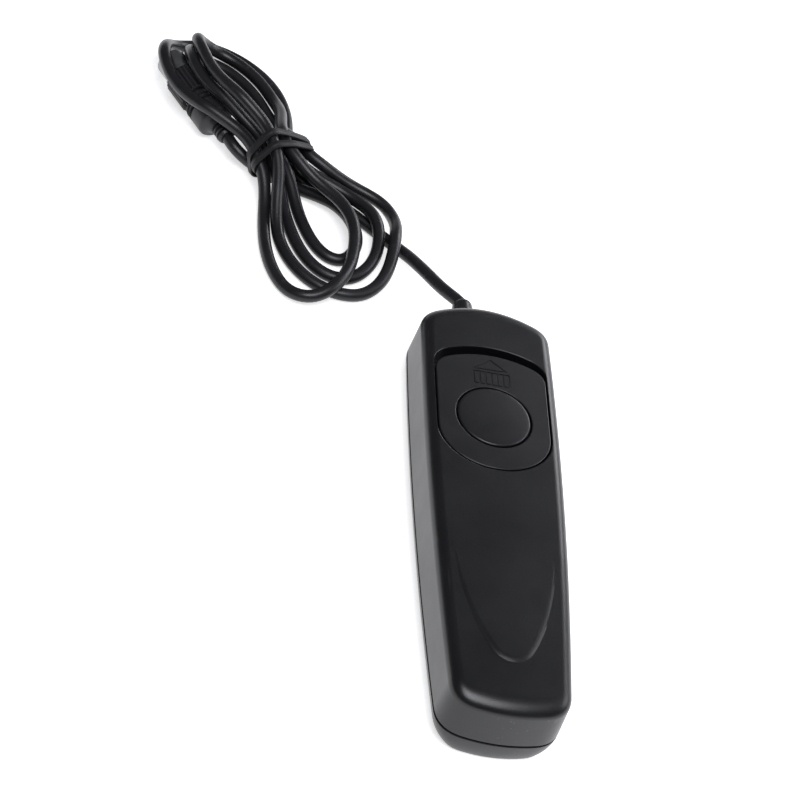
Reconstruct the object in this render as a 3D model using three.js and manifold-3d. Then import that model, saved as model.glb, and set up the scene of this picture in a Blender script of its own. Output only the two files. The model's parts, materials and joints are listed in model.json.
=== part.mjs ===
// A wired remote shutter release for a camera: a hand-held casing of two moulded shells, a round release
// button carried by a sliding hold plate, a stack of leaf contacts under the button, and a cable that
// leaves the top end, is wound into a tied hank and ends in a round locking plug.
// Millimetres, +Z up. The casing lies on its back: the origin is the middle of the resting face,
// +Y runs towards the cable end and the button looks up +Z.
import * as THREE from "three";
import { mergeVertices } from "three/addons/utils/BufferGeometryUtils.js";
import Module from "manifold-3d";

const wasm = await Module();
wasm.setup();

// ---------------------------------------------------------------- driving dimensions

// Casing, seen from the front
const caseLength = 104; // crown of the top end to crown of the bottom end
const topHalfWidth = 14.4; // at the top corners, on the parting plane
const bottomHalfWidth = 12.3; // at the bottom corners
const sideSwell = 0.9; // how far the long sides bow outwards
const topBulge = 2.7;
const bottomBulge = 0.8;
const topCorner = [3.6, 5.8]; // across and along, where the corner leaves the end and the side
const bottomCorner = [3.6, 5.2];

// Casing, seen from the side
const casingHeight = 16.6; // resting face to front face
const partingHeight = 5.5; // resting face to the parting plane
const partingGap = 0.3;
const frontDraft = 0.4; // the front shell's sides lean in by this much
const frontEdgeRadius = 1.9;
const backSideRound = [4.6, 1.2]; // how far the back rolls in at the sides, and at the ends
const frontWall = 1.7;
const backWall = 1.6;
const lipHeight = 1.1;
const lipThickness = 0.9;
const clearance = 0.3; // between pieces that sit in or beside each other
const sink = 0.5; // how far a feature reaches into the body that it is joined to
const past = 1; // how far a cutter reaches past what it cuts
const bite = 0.1; // a pilot hole's radius over its screw's
const slip = 0.2; // a clearance hole's radius over its screw's

// The front falls away towards the bottom end, round a thumb pad that stays level and ends in a point
const fallFromTop = 66; // where it starts to fall
const fallDepth = 0.6; // at the bottom end
const padHalfWidth = 9.8; // where the fall starts
const padPointFromBottom = 11.1;
const padPointX = 0.3;

// Hold slide: a shield-shaped plate in a recess of the front shell
const shieldHalfWidth = 11.75;
const shieldFromTop = 15.1; // from the casing's top end to the crown of its top edge
const shieldLength = 30.8; // from there to the lowest point of its rounded foot
const shieldFootHeight = 10; // from that point up to where its sides run straight
const shieldTopRadius = 22;
const shieldCorner = 2.6;
const holdTravel = 1.8;
const slideGap = 0.28;
const slidePlate = 1.5; // thickness of the plate itself
const slideRim = 1.3; // width of the rim and of the collar under the plate
const recessDepth = 4.2;
const recessFloor = 1.2;
const recessWall = 1.3;
const legSize = [1.3, 4]; // across and along
const legX = 9.2;
const legsFromTop = [36.5, 21];
const legHook = [0.8, 1];

// Release button
const buttonFromTop = 32.2;
const buttonRadius = 7.65;
const buttonGap = 0.35;
const buttonStand = 0.15; // its edge stands this far above the plate
const buttonDome = 0.45;
const buttonChamfer = 0.35;
const buttonFlange = [1, 0.8]; // how far it reaches under the plate, and its thickness
const releaseTravel = 1.5;
const stemRadius = 2;
const stemReach = 1.3; // how far its tip hangs below the recess's floor

// Leaf contacts, clamped in a stack on a pillar of the back shell
const leafThickness = 0.25;
const leafWidth = 4.6;
const leafFreeLength = 17; // from the stack to the free tip
const leafSpacings = [0.55, 0.75]; // air between the lower two leaves and between the upper two
const leafTouch = 0.25; // air between the stem and the upper leaf
const stackFromTop = 21.5;
const stackSize = [13, 7];
const stackGap = 0.05;
const contactBaseHeight = 2.4;
const leafHoleSlip = 0.45; // the leaves' holes clear the screws by more, so that they can't short
const leafStep = 0.6; // each leaf ends this much short of the one below it
const clampPlateThickness = 0.6;
const tagLength = 3.2;
const tagWidth = 1.8;
const tagX = 4;
const stackScrewX = 4.4;

// Fasteners
const lowerScrewFromBottom = 9.5;
const upperScrewFromLeaves = 7.2; // below the free ends of the leaf contacts
const caseScrew = { thread: 1.1, head: 2, headHeight: 1.3, sink: 1.1, length: 8 };
const smallScrew = { thread: 0.8, head: 1.4, headHeight: 0.6, length: 4 };
const bossWall = 1.3;

// Cable, its grommet and its clamp
const cableDiameter = 2.8;
const cableX = -2.5; // the cable leaves the top end left of the middle
const cableFromFront = 8.2; // and its middle lies this far under the front face
const grommetNeck = 2.7; // radius in the wall
const grommetFlange = [4, 1.4]; // inside the wall: radius and thickness
const grommetCollar = [3.1, 1.2]; // outside the wall
const grommetSleeve = [2.65, 2.15, 5.2]; // radius at the collar, at the mouth, and length
const jacketEndFromTop = 13.4;
const clampFromTop = 8.8;
const clampSize = [11.6, 3.4, 1.2]; // across, along, and above the cable
const clampScrewXs = [cableX - 4, cableX + 4];
const conductorDiameter = 0.9;
const conductorLift = [0, 0.1, 1.5]; // how far each rises as it leaves the jacket

// The cord outside the casing is placed from the crown of the top end. The hank: loops drawn in at a
// tied waist, lying on the table beside the casing. Places in it are [along, across] its own length
// from the waist; the upper end points away from the casing.
const hank = {
  waist: [-42.5, 46.5],
  lean: 24, // degrees from +Y towards -X
  pitch: 3.8, // between layers
  tieLift: 1.3,
  plugLift: 9.3, // the strands that rest on the plug rise by this much over its axis
  plugReach: 9,
  plugStart: new THREE.Vector2(15.5, -9.6),
  plugEnd: new THREE.Vector2(34.5, -12),
  // Where each run passes the waist, in order from the casing, and the layer it lies in; 0 is on the
  // table. `climb` is the share of the lobe before it over which the run changes layer.
  slots: [
    { across: 5.2, layer: 0 },
    { across: -6.9, layer: 1, climb: [0.2, 0.4] },
    { across: 1.7, layer: 2, climb: [0.25, 0.48] },
    { across: -3.6, layer: 2 },
    { across: 8, layer: 1, climb: [0.16, 0.38] },
    { across: -3.4, layer: 1 },
    { across: 3.6, layer: 1 },
    { across: 0, layer: 1 },
    { along: -3, across: 0.2, layer: 0.03, heading: 38, climb: [0.86, 1] },
  ],
  lobes: [
    { side: 1, centre: [20, -2.3], half: 12.9, depth: 22.6, lean: 9 },
    { side: -1, centre: [20.5, -1], half: 9.7, depth: 21.5, lean: 22 },
    { side: 1, centre: [22, -0.2], half: 8.8, depth: 17.2, lean: 5 },
    { side: -1, centre: [16.8, 7.6], half: 14.2, depth: 24.8, lean: 19 },
    { side: 1, centre: [22.5, -2.1], half: 8.3, depth: 15.9, lean: 9 },
    { side: -1, centre: [18, 6.2], half: 9.9, depth: 18.8, lean: 17 },
    { side: 1, centre: [24.5, -2], half: 4.1, depth: 8.5, lean: 8 },
    { side: -1, centre: [20, 5.3], half: 5.8, depth: 12, lean: 18 },
  ],
};

// Lead from the grommet's mouth to the hank, points along its middle between its two ends
const leadRoute = [
  [-4.4, 13.1, 6.4],
  [-6.7, 16.2, 4.6],
  [-9.2, 20, 3],
  [-12.5, 24.6, 1.9],
  [-16.6, 29.5, 1.5],
  [-21.4, 34.4, 1.45],
  [-25.4, 37.3, 1.45],
  [-28.2, 39.4, 1.5],
  [-32, 42.1, 1.7],
  [-34.6, 44.2, 2.2],
];
const cordGap = 0.3; // between the ends of two stretches of cable

// Tail from the hank's other end, under its runs, to the plug
const tailRoute = [
  [-46, 46.6, 2.9],
  [-49.4, 46.9, 3.6],
];

// Tie: a flat band wound round the waist, following a rounded oval of this half-width and half-height
// at the waist's middle; `skew` and `rise` are how far it moves across and how much taller it grows
// for each millimetre along the hank. Its underside lies just over the table.
const tie = {
  width: 1.9,
  thickness: 0.7,
  turns: 1.9,
  pitch: 3,
  half: [10.95, 6.45],
  across: 1.05,
  skew: -0.3,
  rise: 0.115,
  overTable: 0.05,
};

// Plug: lies on the table under the hank's upper end, its pins pointing away from the casing
const plug = {
  at: [-56.4, 54.9, 4.75], // middle of the body's wide end
  turn: 31.3, // degrees from +Y towards -X
  relief: [1.9, 2.6, 5], // radius at the cable, at the body, and length
  body: 4.2,
  bodyLength: 6.6,
  neck: 2.9,
  ring: [4.3, 3.3, 7], // outer and inner radius, and length
  ringStart: 8.4,
  ringTravel: 1.5,
  ridges: 20,
  barrel: [3.4, 2.7, 21.5], // outer and inner radius, and where it ends
  pin: 0.35,
  pinCircle: 1.3,
  pinEnd: 20.4,
};

// ---------------------------------------------------------------- worked out from them

const cableRadius = cableDiameter / 2;
const cableHeight = casingHeight - cableFromFront;
const topY = caseLength / 2;
const bottomY = -caseLength / 2;
const fallStartY = topY - fallFromTop;
const padPointY = bottomY + padPointFromBottom;
const shieldTopY = topY - shieldFromTop;
const shieldBottomY = shieldTopY - shieldLength;
const legYs = legsFromTop.map((distance) => topY - distance);
const buttonY = topY - buttonFromTop;
const stackY = topY - stackFromTop;
const leafTipY = stackY - stackSize[1] / 2 - leafFreeLength; // the lowest leaf's
const leafEndY = leafTipY - leafWidth / 2;
const caseScrewYs = [bottomY + lowerScrewFromBottom, leafEndY - upperScrewFromLeaves];
const jacketEndY = topY - jacketEndFromTop;
const clampY = topY - clampFromTop;
const frontBase = partingHeight + partingGap / 2;
const backTop = partingHeight - partingGap / 2;
const floorTop = casingHeight - recessDepth;
const floorBottom = floorTop - recessFloor;
const stemTipHeight = floorBottom - stemReach;
const plateTop = casingHeight - 0.05;
const plateBottom = plateTop - slidePlate;
const slideBottom = floorTop + clearance;
const wallInnerY = topY - frontWall;
const caseScrewSeat = caseScrew.sink + caseScrew.headHeight - clearance / 2;
const caseScrewTip = caseScrewSeat + caseScrew.length;

// ---------------------------------------------------------------- solids and meshes

const materials = {};
for (const [name, color, roughness, metalness] of [
  ["shell", 0x2b2b2e, 0.62, 0],
  ["slide", 0x29292c, 0.6, 0],
  ["button", 0x2a2a2d, 0.55, 0],
  ["cable", 0x1b1b1d, 0.38, 0],
  ["tie", 0x202022, 0.6, 0],
  ["plug", 0x1f1f21, 0.5, 0],
  ["steel", 0xb9bbbf, 0.3, 1],
  ["brass", 0xc9a45a, 0.32, 1],
  ["insulator", 0xd8d2c0, 0.6, 0],
  ["red", 0xa02622, 0.45, 0],
  ["white", 0xdedcd6, 0.45, 0],
  ["yellow", 0xc9a227, 0.45, 0],
])
  materials[name] = { color, roughness, metalness };

const release = new THREE.Group();

// A closed geometry as a solid that can be joined and cut.
function solid(geometry) {
  const bare = geometry.index ? geometry.toNonIndexed() : geometry.clone();
  const points = new THREE.BufferGeometry();
  points.setAttribute("position", bare.getAttribute("position"));
  const merged = mergeVertices(points, 1e-4);
  return new wasm.Manifold(
    new wasm.Mesh({
      numProp: 3,
      vertProperties: merged.attributes.position.array,
      triVerts: new Uint32Array(merged.index.array),
    }),
  );
}

function geometryOf(made) {
  const mesh = made.getMesh();
  const geometry = new THREE.BufferGeometry();
  geometry.setAttribute("position", new THREE.BufferAttribute(mesh.vertProperties, 3));
  geometry.setIndex(new THREE.BufferAttribute(mesh.triVerts, 1));
  geometry.computeVertexNormals();
  return geometry;
}

const joined = (first, ...others) => others.reduce((sum, s) => sum.add(s), first);
const cut = (from, ...tools) => tools.reduce((left, s) => left.subtract(s), from);

// Adds one named piece, in its own material, to the model or to a placed group.
function piece(name, shape, look, parent = release) {
  const geometry = shape.isBufferGeometry ? shape : geometryOf(shape);
  const mesh = new THREE.Mesh(geometry, new THREE.MeshStandardMaterial(materials[look]));
  mesh.name = name;
  parent.add(mesh);
  return mesh;
}

function box(sizeX, sizeY, lowZ, highZ, x = 0, y = 0) {
  const geometry = new THREE.BoxGeometry(sizeX, sizeY, highZ - lowZ);
  return solid(geometry.translate(x, y, (lowZ + highZ) / 2));
}

// A round post or hole along Z.
function post(radius, lowZ, highZ, x = 0, y = 0, segments = 24) {
  const geometry = new THREE.CylinderGeometry(radius, radius, highZ - lowZ, segments);
  return solid(geometry.rotateX(Math.PI / 2).translate(x, y, (lowZ + highZ) / 2));
}

// A slot along Y with round ends, for a post of this radius that travels by `travel`.
function slot(radius, travel, lowZ, highZ, x, y) {
  const outline = new THREE.Shape();
  outline.absarc(x, y + travel, radius, 0, Math.PI);
  outline.absarc(x, y, radius, Math.PI, 2 * Math.PI);
  return prism(outline, lowZ, highZ, 8);
}

function prism(outline, lowZ, highZ, curveSegments = 8) {
  const geometry = new THREE.ExtrudeGeometry(outline, {
    depth: highZ - lowZ,
    bevelEnabled: false,
    curveSegments,
  });
  return solid(geometry.translate(0, 0, lowZ));
}

// A body of revolution about Z from a profile of [radius, height] pairs.
function turned(profile, segments = 32) {
  const points = profile.map(([radius, height]) => new THREE.Vector2(radius, height));
  return solid(new THREE.LatheGeometry(points, segments).rotateX(Math.PI / 2));
}

// Joins rings of equally many points, each a flat loop at its own height, into a closed solid.
function loft(rings) {
  const count = rings[0].length;
  const positions = rings.flat().flatMap((p) => [p.x, p.y, p.z]);
  const faces = [];
  for (let ring = 0; ring + 1 < rings.length; ring++)
    for (let i = 0; i < count; i++) {
      const a = ring * count + i;
      const b = ring * count + ((i + 1) % count);
      faces.push(a, b, b + count, a, b + count, a + count);
    }
  const last = (rings.length - 1) * count;
  const flat = rings[0].map((p) => new THREE.Vector2(p.x, p.y));
  for (const [a, b, c] of THREE.ShapeUtils.triangulateShape(flat, [])) {
    faces.push(a, c, b);
    faces.push(last + a, last + b, last + c);
  }
  const geometry = new THREE.BufferGeometry();
  geometry.setAttribute("position", new THREE.Float32BufferAttribute(positions, 3));
  geometry.setIndex(faces);
  return solid(geometry);
}

// ---------------------------------------------------------------- casing

// The casing's outline on the parting plane, anticlockwise from the middle of the bottom end.
function casingOutline() {
  const outline = new THREE.Shape();
  const bottomTurn = [bottomHalfWidth - bottomCorner[0], bottomY + bottomBulge];
  const topTurn = [topHalfWidth - topCorner[0], topY - topBulge];
  const sideFoot = [bottomHalfWidth, bottomTurn[1] + bottomCorner[1]];
  const sideHead = [topHalfWidth, topTurn[1] - topCorner[1]];
  const swell = [topHalfWidth + sideSwell, (sideFoot[1] + sideHead[1]) / 2];
  // Where the end's tangent meets the side's line
  const topPull = topTurn[1] - (topCorner[0] * 2 * topBulge) / topTurn[0];
  const bottomPull = bottomTurn[1] + (bottomCorner[0] * 2 * bottomBulge) / bottomTurn[0];
  outline.moveTo(-bottomTurn[0], bottomTurn[1]);
  outline.quadraticCurveTo(0, bottomY - bottomBulge, ...bottomTurn);
  outline.quadraticCurveTo(bottomHalfWidth - 0.2, bottomPull, ...sideFoot);
  outline.quadraticCurveTo(...swell, ...sideHead);
  outline.quadraticCurveTo(topHalfWidth, topPull, ...topTurn);
  outline.quadraticCurveTo(0, topY + topBulge, -topTurn[0], topTurn[1]);
  outline.quadraticCurveTo(-topHalfWidth, topPull, -sideHead[0], sideHead[1]);
  outline.quadraticCurveTo(-swell[0], swell[1], -sideFoot[0], sideFoot[1]);
  outline.quadraticCurveTo(-bottomHalfWidth + 0.2, bottomPull, -bottomTurn[0], bottomTurn[1]);
  return outline;
}

const casingPoints = casingOutline().getPoints(6).slice(0, -1);

// The outline at one height, drawn in by one distance at the sides and another at the ends.
function casingRing(height, sideInset, endInset = sideInset) {
  const count = casingPoints.length;
  return casingPoints.map((point, i) => {
    const before = casingPoints[(i + count - 1) % count];
    const after = casingPoints[(i + 1) % count];
    const along = after.clone().sub(before).normalize();
    return new THREE.Vector3(point.x - along.y * sideInset, point.y + along.x * endInset, height);
  });
}

// A quarter round in equal steps: [how far along its first half-axis, how far along its second].
function quarterRound(steps) {
  const turns = [];
  for (let i = 0; i <= steps; i++) {
    const angle = (i / steps) * (Math.PI / 2);
    turns.push([1 - Math.cos(angle), Math.sin(angle)]);
  }
  return turns;
}

// The shield: straight sides, a half-ellipse foot and a bowed top with small corners.
function shieldOutline(grow, topRise) {
  const half = shieldHalfWidth + grow;
  const footY = shieldBottomY + shieldFootHeight;
  const crownY = shieldTopY + topRise + grow;
  const radius = shieldTopRadius + grow;
  const corner = shieldCorner + grow;
  const drop = (x) => radius - Math.sqrt(radius * radius - x * x);
  const turnX = half - corner;
  const outline = new THREE.Shape();
  outline.moveTo(-half, footY);
  outline.absellipse(0, footY, half, shieldFootHeight + grow, Math.PI, 2 * Math.PI);
  outline.lineTo(half, crownY - drop(half) - corner);
  outline.quadraticCurveTo(half, crownY - drop(half), turnX, crownY - drop(turnX));
  const lean = Math.asin(turnX / radius);
  outline.absarc(0, crownY - radius, radius, Math.PI / 2 - lean, Math.PI / 2 + lean);
  outline.quadraticCurveTo(-half, crownY - drop(half), -half, crownY - drop(half) - corner);
  return outline;
}

function frontShell() {
  const outer = [casingRing(frontBase, 0)];
  const edgeBase = casingHeight - frontEdgeRadius;
  for (const [inward, upward] of quarterRound(5)) {
    const inset = frontDraft + frontEdgeRadius * inward;
    outer.push(casingRing(edgeBase + frontEdgeRadius * upward, inset));
  }
  const ceiling = casingHeight - frontWall;
  const hollow = loft([
    casingRing(frontBase - past, frontWall),
    casingRing(ceiling - 1, frontWall + frontDraft),
    casingRing(ceiling, frontWall + frontDraft + 1),
  ]);
  const skin = joined(loft(outer).intersect(loft(outer.map(fallingRing))), thumbPad());
  const tray = prism(shieldOutline(slideGap + recessWall, holdTravel), floorBottom, ceiling + sink);
  const recess = prism(shieldOutline(slideGap, holdTravel), floorTop, casingHeight + past);
  let shell = cut(joined(cut(skin, hollow), tray), recess);
  for (const y of caseScrewYs) {
    const boss = post(caseScrew.thread + bossWall, frontBase, ceiling + sink, 0, y);
    const pilot = post(caseScrew.thread + bite, frontBase - past, caseScrewTip + clearance, 0, y, 16);
    shell = cut(joined(shell, boss), pilot);
  }
  const stemSlot = slot(stemRadius + clearance, holdTravel, floorBottom - past, floorTop + past, 0, buttonY);
  shell = cut(shell, stemSlot, ...slideLegs((x, y) => legSlot(x, y)));
  return cut(shell, grommetNotch());
}

// A ring of the front shell with its height changed so that the front slopes along the whole casing,
// through the level front at the line where the fall starts.
function fallingRing(ring) {
  const slope = fallDepth / (fallStartY - bottomY);
  return ring.map((point) => {
    const share = (point.z - frontBase) / (casingHeight - frontBase);
    return point.clone().setZ(point.z + share * slope * (point.y - fallStartY));
  });
}

function thumbPad() {
  const outline = new THREE.Shape();
  const reach = fallStartY - padPointY;
  const shoulder = [padHalfWidth * 0.92, padPointY + reach * 0.52];
  const brow = [padHalfWidth * 0.37, padPointY + reach * 0.09];
  outline.moveTo(-padHalfWidth, fallStartY + sink);
  outline.bezierCurveTo(-shoulder[0], shoulder[1], padPointX - brow[0], brow[1], padPointX, padPointY);
  outline.bezierCurveTo(padPointX + brow[0], brow[1], ...shoulder, padHalfWidth, fallStartY + sink);
  return prism(outline, casingHeight - fallDepth - sink, casingHeight, 12);
}

// Calls `make` at each of the slide's four legs.
function slideLegs(make) {
  return legYs.flatMap((y) => [make(legX, y), make(-legX, y)]);
}

function legSlot(x, y) {
  const width = legSize[0] + legHook[0] + 2 * clearance;
  const length = legSize[1] + holdTravel + 2 * clearance;
  const centreX = x - (Math.sign(x) * legHook[0]) / 2;
  return box(width, length, floorBottom - past, floorTop + past, centreX, y + holdTravel / 2);
}

// The way through the top wall for the grommet's neck: round above, open to the parting plane.
function grommetNotch() {
  const radius = grommetNeck + clearance / 2;
  const geometry = new THREE.CylinderGeometry(radius, radius, 3 * frontWall, 24);
  const middleY = topY - frontWall / 2;
  const round = solid(geometry.translate(cableX, middleY, cableHeight));
  return joined(round, box(2 * radius, 3 * frontWall, frontBase - past, cableHeight, cableX, middleY));
}

function backShell() {
  const outer = [];
  const turns = quarterRound(6).reverse();
  for (const [inward, downward] of turns) {
    const height = backTop * (1 - downward);
    outer.push(casingRing(height, backSideRound[0] * inward, backSideRound[1] * inward));
  }
  const hollow = loft([
    casingRing(backWall, backSideRound[0] + 0.3 * backWall, backSideRound[1] + backWall),
    casingRing(2 * backWall, 1.75 * backWall, 1.25 * backWall),
    casingRing(backTop, backWall),
    casingRing(backTop + past, backWall),
  ]);
  const lipInset = frontWall + clearance;
  const lip = cut(
    loft([casingRing(backTop - past, lipInset), casingRing(backTop + lipHeight, lipInset)]),
    loft([
      casingRing(backTop - 2 * past, lipInset + lipThickness),
      casingRing(backTop + lipHeight + past, lipInset + lipThickness),
    ]),
  );
  let shell = joined(cut(loft(outer), hollow), lip, contactPillar(), clampSaddle(), grommetCradle());
  for (const y of caseScrewYs) {
    const boss = post(caseScrew.head + bossWall, sink, backTop, 0, y);
    const hole = post(caseScrew.thread + slip, -past, backTop + past, 0, y, 16);
    const headWell = post(caseScrew.head + clearance, -past, caseScrew.sink + caseScrew.headHeight, 0, y);
    shell = cut(joined(shell, boss), hole, headWell);
  }
  const flangeWell = cableBore(
    grommetFlange[0] + clearance,
    flangeFace - grommetFlange[1] / 2,
    grommetFlange[1] + 2 * clearance,
  );
  const clampBore = cableBore(cableRadius + clearance, clampY, 2 * clampSize[1]);
  return cut(shell, clampBore, neckBore(), flangeWell);
}

// A round bore along the cable's axis.
function cableBore(radius, y, length) {
  const geometry = new THREE.CylinderGeometry(radius, radius, length, 20);
  return solid(geometry.translate(cableX, y, cableHeight));
}

const neckBore = () => cableBore(grommetNeck + clearance / 2, topY, 6 * frontWall);

// The half-round cradle that rises from the back shell's top wall and closes the notch.
function grommetCradle() {
  const width = 2 * (grommetNeck - clearance / 2);
  const depth = frontWall - clearance;
  const middleY = topY - clearance - depth / 2 - 0.1;
  return box(width, depth, backTop - 2 * sink, cableHeight - sink, cableX, middleY);
}

// Two posts under the clamp's screws and a saddle under the cable between them.
function clampSaddle() {
  const seat = cableHeight - clearance / 2;
  const body = box(clampSize[0], clampSize[1], backWall - sink, seat, cableX, clampY);
  const pilots = clampScrewXs.map((x) =>
    post(smallScrew.thread + bite, seat - smallScrew.length, seat + past, x, clampY, 12),
  );
  return cut(body, ...pilots);
}

const leafHeights = leafStack();

// The underside of each leaf, from the lowest up, set by the stem's tip.
function leafStack() {
  const upper = stemTipHeight - leafTouch - leafThickness;
  const middle = upper - leafSpacings[1] - leafThickness;
  const lower = middle - leafSpacings[0] - leafThickness;
  return [lower, middle, upper];
}

function contactPillar() {
  const top = leafHeights[0] - stackGap - contactBaseHeight;
  return box(stackSize[0], stackSize[1], backWall - sink, top, 0, stackY);
}

// ---------------------------------------------------------------- hold slide and button

function holdSlide() {
  const rimDepth = plateBottom - slideBottom;
  const body = prism(shieldOutline(0, 0), slideBottom, plateTop);
  const hollow = prism(shieldOutline(-slideRim, 0), slideBottom - past, plateBottom);
  const guideRadius = buttonRadius + buttonGap;
  const well = guideRadius + buttonFlange[0];
  const collar = post(well + slideRim, slideBottom, plateBottom + sink, 0, buttonY, 48);
  const hole = post(guideRadius, slideBottom - past, plateTop + past, 0, buttonY, 48);
  const flangeWell = post(well, slideBottom - past, plateBottom, 0, buttonY, 48);
  const kept = collar.intersect(prism(shieldOutline(-sink, 0), slideBottom, plateTop));
  const plate = cut(joined(cut(body, hollow), kept), hole, flangeWell);
  return joined(plate, ...slideLegs((x, y) => slideLeg(x, y, rimDepth)));
}

// A snap leg that hangs through the recess floor and hooks under it.
function slideLeg(x, y, rimDepth) {
  const hookTop = floorBottom - clearance;
  const inward = -Math.sign(x);
  const shank = box(legSize[0], legSize[1], hookTop - legHook[1], slideBottom + rimDepth, x, y);
  const hookX = x + (inward * (legSize[0] + legHook[0])) / 2;
  const hook = box(
    legHook[0] + sink,
    legSize[1],
    hookTop - legHook[1],
    hookTop,
    hookX - (inward * sink) / 2,
    y,
  );
  return joined(shank, hook);
}

// A domed cap with a flange that the plate holds down, and the stem that works the contacts.
function releaseButton() {
  const edgeTop = plateTop + buttonStand;
  const flangeTop = plateBottom - 0.2;
  const flangeBottom = flangeTop - buttonFlange[1];
  const flangeRadius = buttonRadius + buttonFlange[0];
  const profile = [
    [0, stemTipHeight],
    [stemRadius - 0.5, stemTipHeight],
    [stemRadius, stemTipHeight + 0.5],
    [stemRadius, flangeBottom],
    [flangeRadius, flangeBottom],
    [flangeRadius, flangeTop],
    [buttonRadius, flangeTop],
    [buttonRadius, edgeTop - buttonChamfer],
    [buttonRadius - 0.4 * buttonChamfer, edgeTop - 0.35 * buttonChamfer],
    [buttonRadius - buttonChamfer, edgeTop],
  ];
  const domeSteps = 4;
  for (let i = 1; i <= domeSteps; i++) {
    const share = 1 - i / domeSteps;
    const radius = (buttonRadius - buttonChamfer) * share;
    profile.push([radius, edgeTop + buttonDome * (1 - share * share)]);
  }
  return turned(profile, 48).translate([0, buttonY, 0]);
}

// ---------------------------------------------------------------- leaf contacts

// Two clearance holes for the stack's screws, through everything between two heights.
function stackHoles(lowZ, highZ, extra = slip) {
  return [-stackScrewX, stackScrewX].map((x) =>
    post(smallScrew.thread + extra, lowZ, highZ, x, stackY, 12),
  );
}

// A leaf: a foot in the stack, a free blade under the stem and a solder tag behind.
function leaf(level) {
  const bottom = leafHeights[level];
  const top = bottom + leafThickness;
  const tipY = leafTipY + level * leafStep;
  const bladeEnd = stackY - stackSize[1] / 2 + sink;
  const backY = stackY + stackSize[1] / 2;
  const foot = box(stackSize[0], stackSize[1], bottom, top, 0, stackY);
  const blade = box(leafWidth, bladeEnd - tipY, bottom, top, 0, (bladeEnd + tipY) / 2);
  const tip = post(leafWidth / 2, bottom, top, 0, tipY, 20);
  const x = (level - 1) * tagX;
  const tag = box(tagWidth, tagLength + sink, bottom, top, x, backY + (tagLength - sink) / 2);
  return cut(joined(foot, blade, tip, tag), ...stackHoles(bottom - past, top + past, leafHoleSlip));
}

function spacer(lowZ, highZ) {
  const block = box(stackSize[0], stackSize[1], lowZ + stackGap, highZ - stackGap, 0, stackY);
  return cut(block, ...stackHoles(lowZ - past, highZ + past));
}

function contactStack() {
  const [lower, middle, upper] = leafHeights;
  const seat = lower - contactBaseHeight;
  piece("contact_base", spacer(seat, lower), "insulator");
  piece("shutter_leaf", leaf(0), "brass");
  piece("spacer_lower", spacer(lower + leafThickness, middle), "insulator");
  piece("focus_leaf", leaf(1), "brass");
  piece("spacer_upper", spacer(middle + leafThickness, upper), "insulator");
  piece("common_leaf", leaf(2), "brass");
  const plateLow = upper + leafThickness;
  piece("stack_clamp", spacer(plateLow, plateLow + clampPlateThickness), "steel");
  const seatTop = plateLow + clampPlateThickness;
  for (const [name, x] of [
    ["stack_screw_left", -stackScrewX],
    ["stack_screw_right", stackScrewX],
  ])
    piece(name, smallScrewSolid(x, stackY, seatTop, seatTop - seat - stackGap), "steel");
}

// ---------------------------------------------------------------- fasteners

// A cross recess cut into a screw's head.
function crossRecess(radius, lowZ, highZ, x, y) {
  const arm = radius * 0.32;
  return joined(box(2 * radius, arm, lowZ, highZ, x, y), box(arm, 2 * radius, lowZ, highZ, x, y));
}

function smallScrewSolid(x, y, seat, length) {
  const top = seat + smallScrew.headHeight;
  const head = post(smallScrew.head, seat, top, x, y, 20);
  const shank = post(smallScrew.thread, seat - length, seat + smallScrew.headHeight / 2, x, y, 12);
  const crossBottom = top - 0.75 * smallScrew.headHeight;
  return cut(joined(head, shank), crossRecess(smallScrew.head * 0.6, crossBottom, top + past, x, y));
}

function caseScrewSolid(y) {
  const low = caseScrewSeat - caseScrew.headHeight;
  const head = post(caseScrew.head, low, caseScrewSeat, 0, y, 24);
  const middle = low + caseScrew.headHeight / 2;
  const shank = post(caseScrew.thread, middle, caseScrewTip, 0, y, 16);
  return cut(joined(head, shank), crossRecess(caseScrew.head * 0.6, low - past, middle, 0, y));
}

// ---------------------------------------------------------------- cable inside the casing

// The grommet, turned about the cable: flange inside, neck in the wall, collar and tapered sleeve.
const grommetMouthY = topY + clearance + grommetCollar[1] + grommetSleeve[2];

// The end wall falls away from its crown by this much at the flange's far edge
const flangeReach = Math.abs(cableX) + grommetFlange[0];
const wallFall = topBulge * (flangeReach / (topHalfWidth - topCorner[0])) ** 2;
const flangeFace = wallInnerY - wallFall - clearance;

function grommet() {
  const collarBase = topY + clearance;
  const bore = cableRadius + clearance;
  const profile = [
    [bore, flangeFace - grommetFlange[1]],
    [grommetFlange[0], flangeFace - grommetFlange[1]],
    [grommetFlange[0], flangeFace],
    [grommetNeck - clearance, flangeFace],
    [grommetNeck - clearance, collarBase],
    [grommetCollar[0], collarBase],
    [grommetCollar[0], collarBase + grommetCollar[1]],
    [grommetSleeve[0], collarBase + grommetCollar[1]],
    [grommetSleeve[1], grommetMouthY - 0.4],
    [grommetSleeve[1] - 0.3, grommetMouthY],
    [bore, grommetMouthY],
    [bore, flangeFace - grommetFlange[1]],
  ];
  const points = profile.map(([radius, y]) => new THREE.Vector2(radius, y));
  return solid(new THREE.LatheGeometry(points, 28).translate(cableX, 0, cableHeight));
}

function roundAlong(points, diameter, steps, sides) {
  const section = new THREE.Shape();
  for (let i = 0; i <= sides; i++) {
    const angle = (2 * Math.PI * i) / sides;
    const point = [(diameter / 2) * Math.cos(angle), (diameter / 2) * Math.sin(angle)];
    if (i === 0) section.moveTo(...point);
    else section.lineTo(...point);
  }
  const curve = new THREE.CatmullRomCurve3(
    points.map((p) => new THREE.Vector3(...p)),
    false,
    "centripetal",
  );
  return new THREE.ExtrudeGeometry(section, { steps, extrudePath: curve, bevelEnabled: false });
}

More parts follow.
